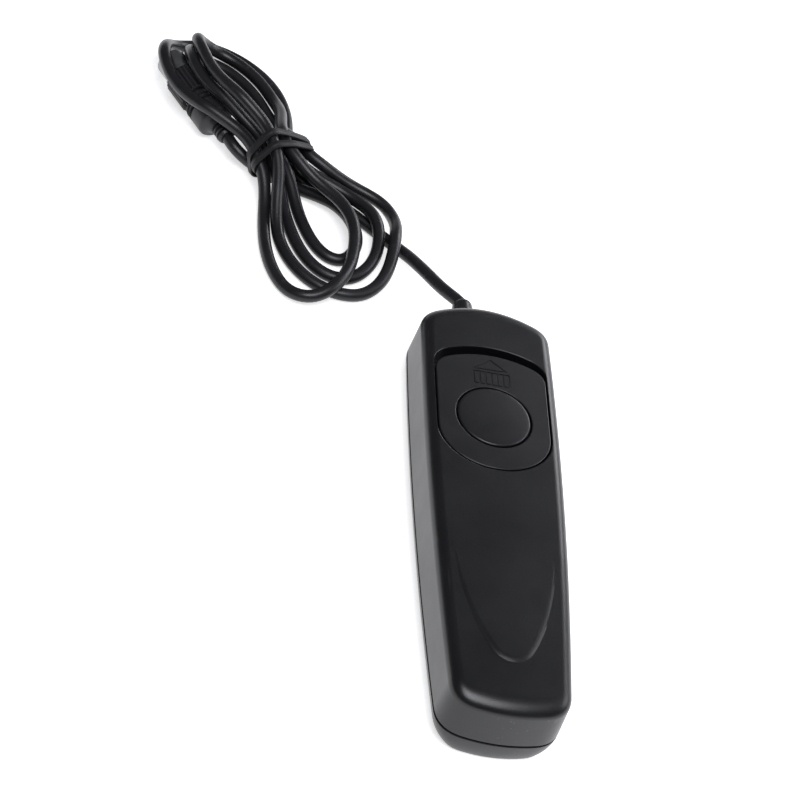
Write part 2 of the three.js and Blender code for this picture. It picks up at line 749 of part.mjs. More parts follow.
function cableInside() {
  const mouth = grommetMouthY;
  const jacket = [
    [cableX, jacketEndY, cableHeight],
    [cableX, (jacketEndY + mouth) / 2, cableHeight],
    [cableX, mouth, cableHeight],
  ];
  piece("cable_jacket", roundAlong(jacket, cableDiameter, 4, 10), "cable");
  const tagY = stackY + stackSize[1] / 2 + tagLength - 0.7;
  const looks = ["white", "yellow", "red"];
  ["conductor_shutter", "conductor_focus", "conductor_common"].forEach((name, level) => {
    const side = level - 1;
    const above = leafHeights[level] + leafThickness + conductorDiameter / 2 + 0.1;
    const route = [
      [cableX + side * 0.9, jacketEndY - 0.3, cableHeight + 0.3 * level],
      [cableX + side * 1.1, jacketEndY - 1, cableHeight + conductorLift[level]],
      [side * tagX * 0.8, tagY + 0.6, above + 0.2],
      [side * tagX, tagY - 0.7, above + 0.05],
    ];
    piece(name, roundAlong(route, conductorDiameter, 8, 6), looks[level]);
  });
  const seat = cableHeight + cableRadius + clearance / 2;
  const barTop = seat + clampSize[2];
  const bar = box(clampSize[0], clampSize[1], cableHeight + clearance / 2, barTop, cableX, clampY);
  const holes = clampScrewXs.map((x) =>
    post(smallScrew.thread + slip, cableHeight - past, barTop + past, x, clampY, 12),
  );
  const bridge = cut(bar, cableBore(cableRadius + clearance / 2, clampY, 2 * clampSize[1]), ...holes);
  piece("cable_clamp", bridge, "insulator");
  ["clamp_screw_left", "clamp_screw_right"].forEach((name, i) => {
    const screw = smallScrewSolid(clampScrewXs[i], clampY, barTop + stackGap, smallScrew.length + 1.4);
    piece(name, screw, "steel");
  });
}

// ---------------------------------------------------------------- cable outside the casing

const smooth = (low, high, value) => {
  const share = Math.min(1, Math.max(0, (value - low) / (high - low)));
  return share * share * (3 - 2 * share);
};

// How far the lowest layer stands off the table at a place in the hank: over the tie at the waist,
// over the strands that cross below it, and over the plug.
function standOff(along, across, layer) {
  const overTie = hank.tieLift * (1 - smooth(3, 11, Math.abs(along)));
  const nearWaist = 1 - smooth(8, 22, Math.abs(along));
  const overLead = along < 0 ? smooth(0, 9, across) : 0;
  const crossing = Math.max(nearWaist, overLead) * hank.pitch * Math.min(layer, 1);
  const toPlug = new THREE.Vector2(along, across);
  const line = hank.plugEnd.clone().sub(hank.plugStart);
  const share = toPlug.clone().sub(hank.plugStart).dot(line) / line.lengthSq();
  const nearest = hank.plugStart.clone().addScaledVector(line, Math.min(1, Math.max(0, share)));
  const bump = hank.plugLift * Math.exp(-((toPlug.distanceTo(nearest) / hank.plugReach) ** 2));
  const slope = (2 * bump * toPlug.distanceTo(nearest)) / hank.plugReach ** 2;
  const upper = Math.max(0, layer - 1) * hank.pitch * Math.hypot(1, slope);
  return cableRadius + overTie + crossing + bump + upper;
}

// A place on the way from the waist out to a lobe: it leaves along one direction and arrives along
// another.
function easeBetween(waist, away, far, onward, share) {
  const reach = waist.distanceTo(far);
  const bend = new THREE.CubicBezierCurve(
    waist,
    waist.clone().addScaledVector(away, reach * 0.22),
    far.clone().addScaledVector(onward, -reach * 0.46),
    far,
  );
  return bend.getPoint(share);
}

// One lobe: out from its slot at the waist, round a half-ellipse and back to the next slot.
function lobePoints({ side, centre, half, depth, lean }, from, to) {
  const turn = THREE.MathUtils.degToRad(lean);
  const outward = new THREE.Vector2(side * Math.cos(turn), -Math.sin(turn));
  const across = new THREE.Vector2(-outward.y, outward.x);
  const start = new THREE.Vector2(from.along ?? 0, from.across);
  const finish = new THREE.Vector2(to.along ?? 0, to.across);
  const middle = new THREE.Vector2(side * centre[0], centre[1]);
  const entry = middle.clone().addScaledVector(across, half);
  const exit = middle.clone().addScaledVector(across, -half);
  const out = new THREE.Vector2(side, 0);
  const slant = THREE.MathUtils.degToRad(to.heading ?? 0);
  const back = new THREE.Vector2(side * Math.cos(slant), Math.sin(slant));
  const places = [];
  for (let i = 0; i < 3; i++) places.push(easeBetween(start, out, entry, outward, i / 3));
  for (let i = 0; i <= 7; i++) {
    const angle = (i / 7) * Math.PI;
    const place = middle.clone().addScaledVector(across, half * Math.cos(angle));
    places.push(place.addScaledVector(outward, depth * Math.sin(angle)));
  }
  for (let i = 2; i > 0; i--) places.push(easeBetween(finish, back, exit, outward, i / 3));
  const layerAt = (share) =>
    from.layer + (to.layer - from.layer) * smooth(...(to.climb ?? [0.3, 0.7]), share);
  return places.map((place, i) => ({ place, layer: layerAt(i / places.length) }));
}

// Hank to world: its waist, its lean and the height of each layer.
function hankPoint({ place, layer }) {
  const lean = THREE.MathUtils.degToRad(hank.lean);
  const x = hank.waist[0] - place.x * Math.sin(lean) + place.y * Math.cos(lean);
  const y = hank.waist[1] + place.x * Math.cos(lean) + place.y * Math.sin(lean);
  return new THREE.Vector3(x, y, standOff(place.x, place.y, layer));
}

function hankRoute() {
  const route = [];
  hank.lobes.forEach((lobe, i) => {
    route.push(...lobePoints(lobe, hank.slots[i], hank.slots[i + 1]).map(hankPoint));
  });
  const last = hank.slots.at(-1);
  route.push(hankPoint({ place: new THREE.Vector2(last.along, last.across), layer: last.layer }));
  return route;
}

// A tube through points, with a ring square to the way at each and flat ends.
function tubeThrough(points, radius, sides) {
  const up = new THREE.Vector3(0, 0, 1);
  const positions = [];
  points.forEach((point, i) => {
    const before = points[Math.max(0, i - 1)];
    const after = points[Math.min(points.length - 1, i + 1)];
    const along = after.clone().sub(before).normalize();
    const level = along.clone().cross(up).normalize();
    const raised = level.clone().cross(along);
    for (let k = 0; k < sides; k++) {
      const angle = (2 * Math.PI * k) / sides;
      const corner = point.clone().addScaledVector(level, radius * Math.cos(angle));
      corner.addScaledVector(raised, radius * Math.sin(angle));
      positions.push(corner.x, corner.y, corner.z);
    }
  });
  const faces = [];
  for (let ring = 0; ring + 1 < points.length; ring++)
    for (let k = 0; k < sides; k++) {
      const a = ring * sides + k;
      const b = ring * sides + ((k + 1) % sides);
      faces.push(a, b + sides, b, a, a + sides, b + sides);
    }
  const last = (points.length - 1) * sides;
  for (let k = 1; k + 1 < sides; k++) {
    faces.push(0, k, k + 1);
    faces.push(last, last + k + 1, last + k);
  }
  const geometry = new THREE.BufferGeometry();
  geometry.setAttribute("position", new THREE.Float32BufferAttribute(positions, 3));
  geometry.setIndex(faces);
  return geometry;
}

// The least air between one stretch of a tube and another, measured on points along its middle.
function leastGap(points, diameter) {
  const samples = [];
  for (let i = 0; i + 1 < points.length; i++) {
    const steps = Math.ceil(points[i].distanceTo(points[i + 1]));
    for (let k = 0; k < steps; k++) samples.push(points[i].clone().lerp(points[i + 1], k / steps));
  }
  let least = Infinity;
  for (let i = 0; i < samples.length; i++)
    for (let k = i + 4 * Math.ceil(diameter); k < samples.length; k++)
      least = Math.min(least, samples[i].distanceTo(samples[k]) - diameter);
  return least;
}

// Steps back from an end of the hank: the place one cord gap off it, and one diameter further on.
function straightFrom(end, inner) {
  const away = end.clone().sub(inner).normalize();
  return [cordGap, cordGap + cableDiameter].map((d) => end.clone().addScaledVector(away, d));
}

const asList = (points) => points.map((p) => [p.x, p.y, p.z]);

// What lies outside the casing, placed from the crown of its top end
const outside = new THREE.Group();
outside.position.y = topY;
release.add(outside);

function leadCord() {
  const mouth = grommetMouthY - topY + cordGap;
  const [last, beforeLast] = straightFrom(hankLine[0], hankLine[1]);
  const route = [
    [cableX, mouth, cableHeight],
    [cableX, mouth + cableDiameter, cableHeight],
    ...leadRoute,
    ...asList([beforeLast, last]),
  ];
  return roundAlong(route, cableDiameter, 14, 8);
}

function tailCord() {
  const [first, second] = straightFrom(hankLine.at(-1), hankLine.at(-2));
  const turn = THREE.MathUtils.degToRad(plug.turn);
  const axis = new THREE.Vector3(-Math.sin(turn), Math.cos(turn), 0);
  const relief = new THREE.Vector3(...plug.at).addScaledVector(axis, -plug.relief[2] - cordGap);
  const before = relief.clone().addScaledVector(axis, -cableDiameter);
  const route = [...asList([first, second]), ...tailRoute, ...asList([before, relief])];
  return roundAlong(route, cableDiameter, 10, 8);
}

// The band round the waist: rings of four corners along a rounded oval, stepping along the hank.
function tieBand() {
  const steps = 44;
  const lean = THREE.MathUtils.degToRad(hank.lean);
  const alongHank = new THREE.Vector3(-Math.sin(lean), Math.cos(lean), 0);
  const acrossHank = new THREE.Vector3(Math.cos(lean), Math.sin(lean), 0);
  const squareness = 0.6;
  const corner = (value) => Math.sign(value) * Math.abs(value) ** squareness;
  const at = (share) => {
    const angle = -0.35 + share * tie.turns * 2 * Math.PI;
    const along = (share - 0.5) * tie.turns * tie.pitch;
    const halfHeight = tie.half[1] + tie.rise * along;
    const across = tie.across + tie.skew * along + tie.half[0] * corner(Math.cos(angle));
    const height = tie.overTable + tie.thickness / 2 + halfHeight * (1 + corner(Math.sin(angle)));
    const middle = new THREE.Vector3(hank.waist[0], hank.waist[1], height);
    return middle.addScaledVector(alongHank, along).addScaledVector(acrossHank, across);
  };
  const rings = [];
  for (let i = 0; i <= steps; i++) {
    const share = i / steps;
    const onward = at(share + 0.002).sub(at(share - 0.002)).normalize();
    const outward = onward.clone().cross(alongHank).normalize();
    rings.push(
      [[1, 1], [-1, 1], [-1, -1], [1, -1]].map(([w, t]) =>
        at(share)
          .addScaledVector(alongHank, (w * tie.width) / 2)
          .addScaledVector(outward, (t * tie.thickness) / 2),
      ),
    );
  }
  return loft(rings);
}

// A body of revolution about the plug's own axis, local +Y.
function turnedAlongY(profile, segments = 28) {
  const points = profile.map(([radius, y]) => new THREE.Vector2(radius, y));
  return solid(new THREE.LatheGeometry(points, segments));
}

function roundBar(radius, low, high, x, z, segments = 12) {
  const geometry = new THREE.CylinderGeometry(radius, radius, high - low, segments);
  return solid(geometry.translate(x, (low + high) / 2, z));
}

// The coupling ring: a sleeve with ridges for the fingers.
function plugRing() {
  const [outer, inner, length] = plug.ring;
  const outline = new THREE.Shape();
  const count = plug.ridges * 4;
  for (let i = 0; i <= count; i++) {
    const angle = (2 * Math.PI * i) / count;
    const radius = outer - (i % 4 < 2 ? 0 : 0.25);
    const point = [radius * Math.cos(angle), radius * Math.sin(angle)];
    if (i === 0) outline.moveTo(...point);
    else outline.lineTo(...point);
  }
  const sleeve = prism(outline, 0, length).rotate([-90, 0, 0]).translate([0, plug.ringStart, 0]);
  return cut(sleeve, roundBar(inner, plug.ringStart - 1, plug.ringStart + length + 1, 0, 0, 28));
}

function plugPieces() {
  const group = new THREE.Group();
  group.position.set(...plug.at);
  group.rotation.z = THREE.MathUtils.degToRad(plug.turn);
  outside.add(group);
  const { relief, body, bodyLength, neck, ring, ringStart, barrel } = plug;
  const ringEnd = ringStart + ring[2];
  const groove = 0.45;
  const boot = turnedAlongY([
    [0, -relief[2]],
    [relief[0], -relief[2]],
    [relief[1], -0.3],
    [body - 0.6, 0],
    [body, 0.6],
    [body, 4.2],
    [body - groove, 4.3],
    [body - groove, 4.9],
    [body, 5],
    [body, 5.5],
    [body - groove, 5.6],
    [body - groove, 6.1],
    [body - 0.1, 6.2],
    [body - 0.2, bodyLength],
    [neck, bodyLength],
    [neck, ringStart + 0.2],
    [barrel[1] - clearance, ringStart + 0.2],
    [barrel[1] - clearance, ringStart + 3],
    [0, ringStart + 3],
  ]);
  piece("plug_boot", boot, "plug", group);
  piece("plug_ring", plugRing(), "plug", group);
  const shell = turnedAlongY([
    [barrel[1], ringStart + 0.5],
    [ring[1] - clearance, ringStart + 0.5],
    [ring[1] - clearance, ringEnd + clearance],
    [ring[0] - 0.5, ringEnd + clearance],
    [ring[0] - 0.5, ringEnd + 1],
    [barrel[0], ringEnd + 1.3],
    [barrel[0], barrel[2] - 0.3],
    [barrel[0] - 0.3, barrel[2]],
    [barrel[1], barrel[2]],
    [barrel[1], ringStart + 0.5],
  ]);
  piece("plug_barrel", shell, "steel", group);
  const insertStart = ringStart + 3.3;
  const places = [0, 1, 2].map((i) => {
    const angle = (2 * Math.PI * i) / 3 + Math.PI / 2;
    return [plug.pinCircle * Math.cos(angle), plug.pinCircle * Math.sin(angle)];
  });
  const face = ringEnd + 2;
  const holes = places.map(([x, z]) => roundBar(plug.pin + stackGap, insertStart + past, face + past, x, z));
  const insert = roundBar(barrel[1] - clearance, insertStart, face, 0, 0, 28);
  piece("plug_insert", cut(insert, ...holes), "plug", group);
  ["pin_first", "pin_second", "pin_third"].forEach((name, i) => {
    const [x, z] = places[i];
    piece(name, roundBar(plug.pin, insertStart + past + clearance, plug.pinEnd, x, z), "brass", group);
  });
}

// ---------------------------------------------------------------- assembly

piece("front_shell", frontShell(), "shell");
piece("back_shell", backShell(), "shell");
piece("hold_slide", holdSlide(), "slide");
piece("release_button", releaseButton(), "button");
contactStack();
piece("case_screw_bottom", caseScrewSolid(caseScrewYs[0]), "steel");
piece("case_screw_top", caseScrewSolid(caseScrewYs[1]), "steel");
piece("cable_grommet", grommet(), "cable");
cableInside();
const hankLine = hankRoute();
piece("cord_hank", tubeThrough(hankLine, cableRadius, 6), "cable", outside);
console.log("least gap in the hank:", leastGap(hankLine, cableDiameter).toFixed(2), "mm");
piece("cord_lead", leadCord(), "cable", outside);
piece("cord_tail", tailCord(), "cable", outside);
piece("tie_wire", tieBand(), "tie", outside);
plugPieces();

export default release;
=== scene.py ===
"""Blender scene of a wired remote shutter release lying on a pale floor.

Lengths are in millimetres, as in the part's source, until a mesh is made. The casing lies on its
back with the cable end towards +Y and the button up.
"""

import json
import math

import bmesh
import bpy
import numpy as np
from mathutils import Matrix, Vector


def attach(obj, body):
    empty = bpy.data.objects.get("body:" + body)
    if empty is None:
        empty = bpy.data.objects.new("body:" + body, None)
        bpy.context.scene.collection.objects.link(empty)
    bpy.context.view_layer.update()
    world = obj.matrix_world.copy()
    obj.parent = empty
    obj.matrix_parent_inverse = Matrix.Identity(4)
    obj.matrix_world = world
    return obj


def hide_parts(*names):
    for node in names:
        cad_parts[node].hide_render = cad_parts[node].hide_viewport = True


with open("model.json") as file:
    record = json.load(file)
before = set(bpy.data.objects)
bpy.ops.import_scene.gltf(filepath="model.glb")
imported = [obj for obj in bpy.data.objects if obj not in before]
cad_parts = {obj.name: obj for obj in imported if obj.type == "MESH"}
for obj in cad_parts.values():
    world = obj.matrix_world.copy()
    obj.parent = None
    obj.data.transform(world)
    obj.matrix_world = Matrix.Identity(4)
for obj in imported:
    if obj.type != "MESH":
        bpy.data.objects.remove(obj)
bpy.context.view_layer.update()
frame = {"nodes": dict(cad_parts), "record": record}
MM = 0.001

# ---------------------------------------------------------------- camera

CAMERA_AT = Vector((-123.014, -302.112, 355.045))
CAMERA_ELEVATION = 45.0
CAMERA_AZIMUTH = 17.7736  # from +Y towards +X
CAMERA_ROLL = 22.0911
CAMERA_LENS = 108.0


def make_camera():
    """The photograph's camera: where it stands, where it looks and how it is rolled."""
    rise, turn, roll = map(math.radians, (CAMERA_ELEVATION, CAMERA_AZIMUTH, CAMERA_ROLL))
    ahead = Vector((math.sin(turn) * math.cos(rise), math.cos(turn) * math.cos(rise), -math.sin(rise)))
    level = Vector((math.cos(turn), -math.sin(turn), 0))
    above = level.cross(ahead)
    right = math.cos(roll) * level + math.sin(roll) * above
    up = -math.sin(roll) * level + math.cos(roll) * above
    data = bpy.data.cameras.new("camera")
    data.lens = CAMERA_LENS
    data.sensor_width = 36
    data.clip_start, data.clip_end = 0.01, 20
    camera = bpy.data.objects.new("camera", data)
    placed = Matrix((right, up, -ahead)).transposed().to_4x4()
    placed.translation = CAMERA_AT * MM
    camera.matrix_world = placed
    bpy.context.scene.collection.objects.link(camera)
    bpy.context.scene.camera = camera


make_camera()

# ---------------------------------------------------------------- dimensions

CASE_LENGTH = 104
TOP_HALF, BOTTOM_HALF = 14.4, 12.3
SIDE_SWELL = 0.9
TOP_BULGE, BOTTOM_BULGE = 2.7, 0.8
TOP_CORNER, BOTTOM_CORNER = (3.6, 5.8), (5.0, 6.0)  # the bottom one is rounder than the solids'
CASE_HEIGHT, PARTING, PARTING_GAP = 16.6, 5.5, 0.3
FRONT_DRAFT = 0.4
SIDE_ROLL, END_ROLL, ROLL_DEPTH = 2.5, 3.8, 2.5  # softer than the solids' edge, as the highlights show
BACK_ROUND = (4.6, 1.2)
NECK_RADIUS, NECK_REACH = 2.85, 6
FRONT_WALL, BACK_WALL = 1.7, 1.6
TOP_Y, BOTTOM_Y = CASE_LENGTH / 2, -CASE_LENGTH / 2
FRONT_BASE, BACK_TOP = PARTING + PARTING_GAP / 2, PARTING - PARTING_GAP / 2

FALL_START, FALL_DEPTH = -14.0, 0.6
PAD_HALF, PAD_POINT = 9.8, (0.3, -40.9)
PAD_TIP_RISE = 0.45  # how far its rounded tip stays short of the point

SHIELD_HALF, SHIELD_TOP, SHIELD_BOTTOM = 11.75, 36.9, 6.1
SHIELD_FOOT, SHIELD_CROWN, SHIELD_CORNER = 10.0, 22.0, 2.6
HOLD_TRAVEL, SLIDE_GAP, SLIDE_RIM = 1.8, 0.28, 1.3
RECESS_DEPTH, RECESS_FLOOR, RECESS_WALL = 4.2, 1.2, 1.3
FLOOR_TOP = CASE_HEIGHT - RECESS_DEPTH
FLOOR_BOTTOM = FLOOR_TOP - RECESS_FLOOR
PLATE_TOP = CASE_HEIGHT - 0.05
PLATE_BOTTOM = PLATE_TOP - 1.5
SLIDE_BOTTOM = FLOOR_TOP + 0.3
LEG_X, LEG_YS, LEG_SIZE = 9.2, (15.5, 31.0), (1.3, 4.0)

BUTTON_Y, BUTTON_RADIUS, BUTTON_GAP = 19.8, 7.65, 0.35
STEM_RADIUS, STEM_TIP = 2.0, 9.9
SCREW_YS, SCREW_WELL, SCREW_SINK = (-42.5, 0.5), 2.3, 2.4

CABLE_X, CABLE_Z, CABLE_RADIUS = -2.5, 8.4, 1.4
MOUTH_Y = 58.7

# ---------------------------------------------------------------- materials


def srgb(value):
    """A screen value from 0 to 1 as a linear one."""
    return value / 12.92 if value <= 0.04045 else ((value + 0.055) / 1.055) ** 2.4


def colour(*parts):
    """A linear colour from three screen values out of 255."""
    return tuple(srgb(p / 255) for p in parts) + (1.0,)


class Nodes:
    """A material under construction, with short ways to add the nodes used here."""

    def __init__(self, name):
        self.material = bpy.data.materials.new(name)
        self.material.use_nodes = True
        self.tree = self.material.node_tree
        self.shader = self.tree.nodes["Principled BSDF"]
        self.place = self.add("ShaderNodeTexCoord").outputs["Object"]

    def add(self, kind, **inputs):
        node = self.tree.nodes.new(kind)
        for key, value in inputs.items():
            self.put(node.inputs[key.replace("_", " ")], value)
        return node

    def put(self, socket, value):
        if isinstance(value, bpy.types.NodeSocket):
            self.tree.links.new(value, socket)
        else:
            socket.default_value = value

    def set(self, **inputs):
        for key, value in inputs.items():
            self.put(self.shader.inputs[key.replace("_", " ")], value)

    def noise(self, scale, detail=3.0, roughness=0.55, at=None):
        node = self.add("ShaderNodeTexNoise", Scale=scale, Detail=detail, Roughness=roughness)
        self.put(node.inputs["Vector"], at or self.place)
        return node.outputs["Fac"]

    def stretched(self, x, y, z, turn=0.0):
        node = self.add("ShaderNodeMapping", Vector=self.place, Scale=(x, y, z), Rotation=(0, 0, turn))
        return node.outputs["Vector"]

    def ramp(self, value, *stops):
        """Maps value through (from, to, low, high)."""
        names = ("From_Min", "From_Max", "To_Min", "To_Max")
        return self.add("ShaderNodeMapRange", Value=value, **dict(zip(names, stops))).outputs["Result"]

    def mixed(self, share, first, second):
        node = self.tree.nodes.new("ShaderNodeMix")
        node.data_type = "RGBA"
        self.put(node.inputs["Factor"], share)
        self.put(node.inputs[6], first)
        self.put(node.inputs[7], second)
        return node.outputs[2]

    def calculated(self, first, second, how):
        node = self.tree.nodes.new("ShaderNodeMath")
        node.operation = how
        self.put(node.inputs[0], first)
        self.put(node.inputs[1], second)
        return node.outputs[0]

    def times(self, first, second):
        return self.calculated(first, second, "MULTIPLY")

    def bump(self, height, distance, strength=1.0, under=None):
        node = self.add("ShaderNodeBump", Distance=distance, Strength=strength, Height=height)
        if under is not None:
            self.put(node.inputs["Normal"], under)
        return node.outputs["Normal"]


GRAIN_DEPTH, SCRATCH_DEPTH = 0.000012, 0.000012  # metres, as the shader counts them


def moulded(name, dark, light, rough, scratches=0.0):
    """Dark moulded plastic: a fine spark-eroded grain, cloudy sheen, and hairline scratches."""
    m = Nodes(name)
    cloud = m.noise(38, 4)
    speck = m.noise(2600, 2, 0.6)
    shade = m.mixed(m.ramp(cloud, 0.35, 0.65, 0, 1), dark, light)
    shade = m.mixed(m.ramp(speck, 0.66, 0.78, 0, 0.35), shade, colour(74, 74, 80))
    wear = m.noise(210, 3, 0.7)
    low, high = rough
    roughness = m.ramp(m.calculated(cloud, m.times(wear, 0.5), "ADD"), 0.5, 1.0, low, high)
    normal = m.bump(m.noise(3400, 2, 0.5), GRAIN_DEPTH)
    if scratches:
        thin = m.noise(900, 1.5, 0.4, m.stretched(1, 0.035, 1, 0.6))
        line = m.ramp(thin, 0.70, 0.735, 0, 1)
        where = m.ramp(m.noise(60, 2), 0.52, 0.66, 0, 1)
        line = m.times(line, where)
        shade = m.mixed(m.times(line, scratches), shade, colour(96, 96, 102))
        normal = m.bump(line, -SCRATCH_DEPTH, 0.8, normal)
    m.set(Base_Color=shade, Roughness=roughness, Normal=normal, Specular_IOR_Level=0.5)
    return m.material


def jacketed(name, dark, light, rough):
    """Extruded cable jacket: satin and slightly uneven, with faint scuffs."""
    m = Nodes(name)
    cloud = m.noise(95, 4)
    scuff = m.ramp(m.noise(700, 4, 0.7), 0.60, 0.74, 0, 1)
    shade = m.mixed(m.ramp(cloud, 0.3, 0.7, 0, 1), dark, light)
    shade = m.mixed(m.times(scuff, 0.16), shade, colour(92, 92, 98))
    roughness = m.calculated(m.ramp(cloud, 0.3, 0.7, *rough), m.times(scuff, 0.08), "ADD")
    normal = m.bump(m.noise(1500, 2, 0.5), 0.000008)
    m.set(Base_Color=shade, Roughness=roughness, Normal=normal, Specular_IOR_Level=0.42)
    return m.material


def metal(name, tint, rough):
    """Brushed metal with dull, tarnished patches."""
    m = Nodes(name)
    streak = m.noise(420, 3, 0.6, m.stretched(1, 0.08, 1))
    tarnish = m.ramp(m.noise(160, 4), 0.45, 0.75, 0, 0.5)
    dull = tuple(c * 0.62 for c in tint[:3]) + (1.0,)
    m.set(
        Base_Color=m.mixed(tarnish, tint, dull),
        Metallic=1.0,
        Roughness=m.ramp(streak, 0.3, 0.7, rough - 0.08, rough + 0.12),
        Normal=m.bump(streak, 0.00001),
    )
    return m.material


def plain_plastic(name, tint, rough):
    """Light plastic of one colour, a little cloudy."""
    m = Nodes(name)
    cloud = m.noise(240, 3)
    dull = tuple(c * 0.85 for c in tint[:3]) + (1.0,)
    m.set(
        Base_Color=m.mixed(m.ramp(cloud, 0.35, 0.65, 0, 1), tint, dull),
        Roughness=m.ramp(cloud, 0.3, 0.7, rough - 0.06, rough + 0.08),
        Normal=m.bump(m.noise(2400, 2), 0.000008),
    )
    return m.material


LOOKS = {
    "shell": moulded("shell_plastic", colour(12, 12, 15), colour(17, 17, 21), (0.29, 0.38), scratches=0.2),
    "slide": moulded("slide_plastic", colour(15, 15, 18), colour(20, 20, 24), (0.30, 0.40)),
    "button": moulded("button_plastic", colour(15, 15, 18), colour(20, 20, 24), (0.29, 0.38)),
    "cable": jacketed("cable_jacket_pvc", colour(21, 21, 24), colour(28, 28, 32), (0.3, 0.42)),
    "tie": jacketed("tie_pvc", colour(26, 26, 28), colour(32, 32, 34), (0.45, 0.58)),
    "plug": moulded("plug_plastic", colour(30, 30, 33), colour(38, 38, 42), (0.36, 0.46)),
    "steel": metal("steel", (0.3, 0.305, 0.31, 1.0), 0.3),
    "brass": metal("brass", (0.62, 0.43, 0.17, 1.0), 0.3),
    "insulator": plain_plastic("insulator", colour(216, 210, 192), 0.55),
    "conductor_white": plain_plastic("white_insulation", colour(222, 220, 214), 0.42),
    "conductor_yellow": plain_plastic("yellow_insulation", colour(201, 162, 39), 0.42),
    "conductor_red": plain_plastic("red_insulation", colour(160, 38, 34), 0.42),
}

# The solids that stay in the picture wear the same looks as the pieces made here
for row in frame["record"]["subparts"]:
    cad = frame["nodes"][row["node"]]
    cad.data.materials.clear()
    cad.data.materials.append(LOOKS[row["material_slot"]])

# ---------------------------------------------------------------- mesh making


def object_of(name, data):
    """An object in the scene with the given mesh, curve or light."""
    obj = bpy.data.objects.new(name, data)
    bpy.context.scene.collection.objects.link(obj)
    return obj


def mesh_of(name, points, faces):
    """A closed mesh from points in millimetres, its faces turned outwards."""
    mesh = bpy.data.meshes.new(name)
    mesh.from_pydata([tuple(c * MM for c in p) for p in points], [], faces)
    work = bmesh.new()
    work.from_mesh(mesh)
    bmesh.ops.remove_doubles(work, verts=work.verts, dist=1e-7)
    bmesh.ops.recalc_face_normals(work, faces=work.faces)
    work.to_mesh(mesh)
    work.free()
    return mesh


def loft(name, rings):
    """A tool object through rings of equally many points, capped at both ends."""
    count = len(rings[0])
    last = (len(rings) - 1) * count
    faces = []
    for here in range(0, last, count):
        for i in range(count):
            j = (i + 1) % count
            faces.append((here + i, here + j, here + count + j, here + count + i))
    faces.append(tuple(reversed(range(count))))
    faces.append(tuple(range(last, last + count)))
    return object_of(name, mesh_of(name, [p for ring in rings for p in ring], faces))


def box(name, low, high):
    """A tool block between two opposite corners."""
    (x0, y0, z0), (x1, y1, z1) = low, high
    corners = [(x0, y0), (x1, y0), (x1, y1), (x0, y1)]
    return loft(name, [[(x, y, z) for x, y in corners] for z in (z0, z1)])


def turned(name, profile, segments=96, at=(0, 0, 0), along="Z"):
    """A body of revolution from (radius, height) pairs; the profile starts and ends on the axis or closes."""
    points, faces, rows = [], [], []
    for radius, height in profile:
        if radius == 0:
            rows.append([len(points)] * segments)
            points.append((0, 0, height))
            continue
        rows.append(list(range(len(points), len(points) + segments)))
        for i in range(segments):
            angle = 2 * math.pi * i / segments
            points.append((radius * math.cos(angle), radius * math.sin(angle), height))
    for lower, upper in zip(rows, rows[1:]):
        for i in range(segments):
            j = (i + 1) % segments
            face = tuple(dict.fromkeys((lower[i], lower[j], upper[j], upper[i])))
            if len(face) > 2:
                faces.append(face)
    if along == "Y":
        points = [(x, z, -y) for x, y, z in points]
    return object_of(name, mesh_of(name, [tuple(a + b for a, b in zip(p, at)) for p in points], faces))


def carve(obj, *steps):
    """Applies (operation, tool) booleans in order and removes the tools."""
    for how, tool in steps:
        step = obj.modifiers.new(how, "BOOLEAN")
        step.operation, step.solver, step.object = how, "EXACT", tool
        made = bpy.data.meshes.new_from_object(obj.evaluated_get(bpy.context.evaluated_depsgraph_get()))
        obj.modifiers.clear()
        old, obj.data = obj.data, made
        bpy.data.meshes.remove(old)
        bpy.data.objects.remove(tool)
    return obj


def dressed(obj, look, node, body, crease=32, weigh=True):
    """Finishes a rigid piece: smooth shading with crisp edges, its material, and what it stands for."""
    mesh = obj.data
    work = bmesh.new()
    work.from_mesh(mesh)
    bmesh.ops.remove_doubles(work, verts=work.verts, dist=2e-7)
    bmesh.ops.dissolve_degenerate(work, edges=work.edges, dist=1e-7)
    for edge in work.edges:
        edge.smooth = edge.calc_face_angle(0.0) < math.radians(crease)
    for face in work.faces:
        face.smooth = True
        face.material_index = 0
    work.to_mesh(mesh)
    work.free()
    mesh.materials.clear()
    mesh.materials.append(LOOKS[look])
    if weigh:
        weighted = obj.modifiers.new("weighted", "WEIGHTED_NORMAL")
        weighted.keep_sharp = True
        weighted.weight = 90
    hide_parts(node)
    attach(obj, body)
    return obj


def quarter(steps):
    """A quarter round in equal steps, as shares of its two half-axes."""
    turns = [math.pi / 2 * i / steps for i in range(steps + 1)]
    return [(1 - math.cos(a), math.sin(a)) for a in turns]


# ---------------------------------------------------------------- casing


def quadratic(a, b, c, steps):
    """Points on a curve from a towards c, drawn to b; c itself is left out."""
    return [
        tuple((1 - t) ** 2 * p + 2 * t * (1 - t) * q + t * t * r for p, q, r in zip(a, b, c))
        for t in (i / steps for i in range(steps))
    ]


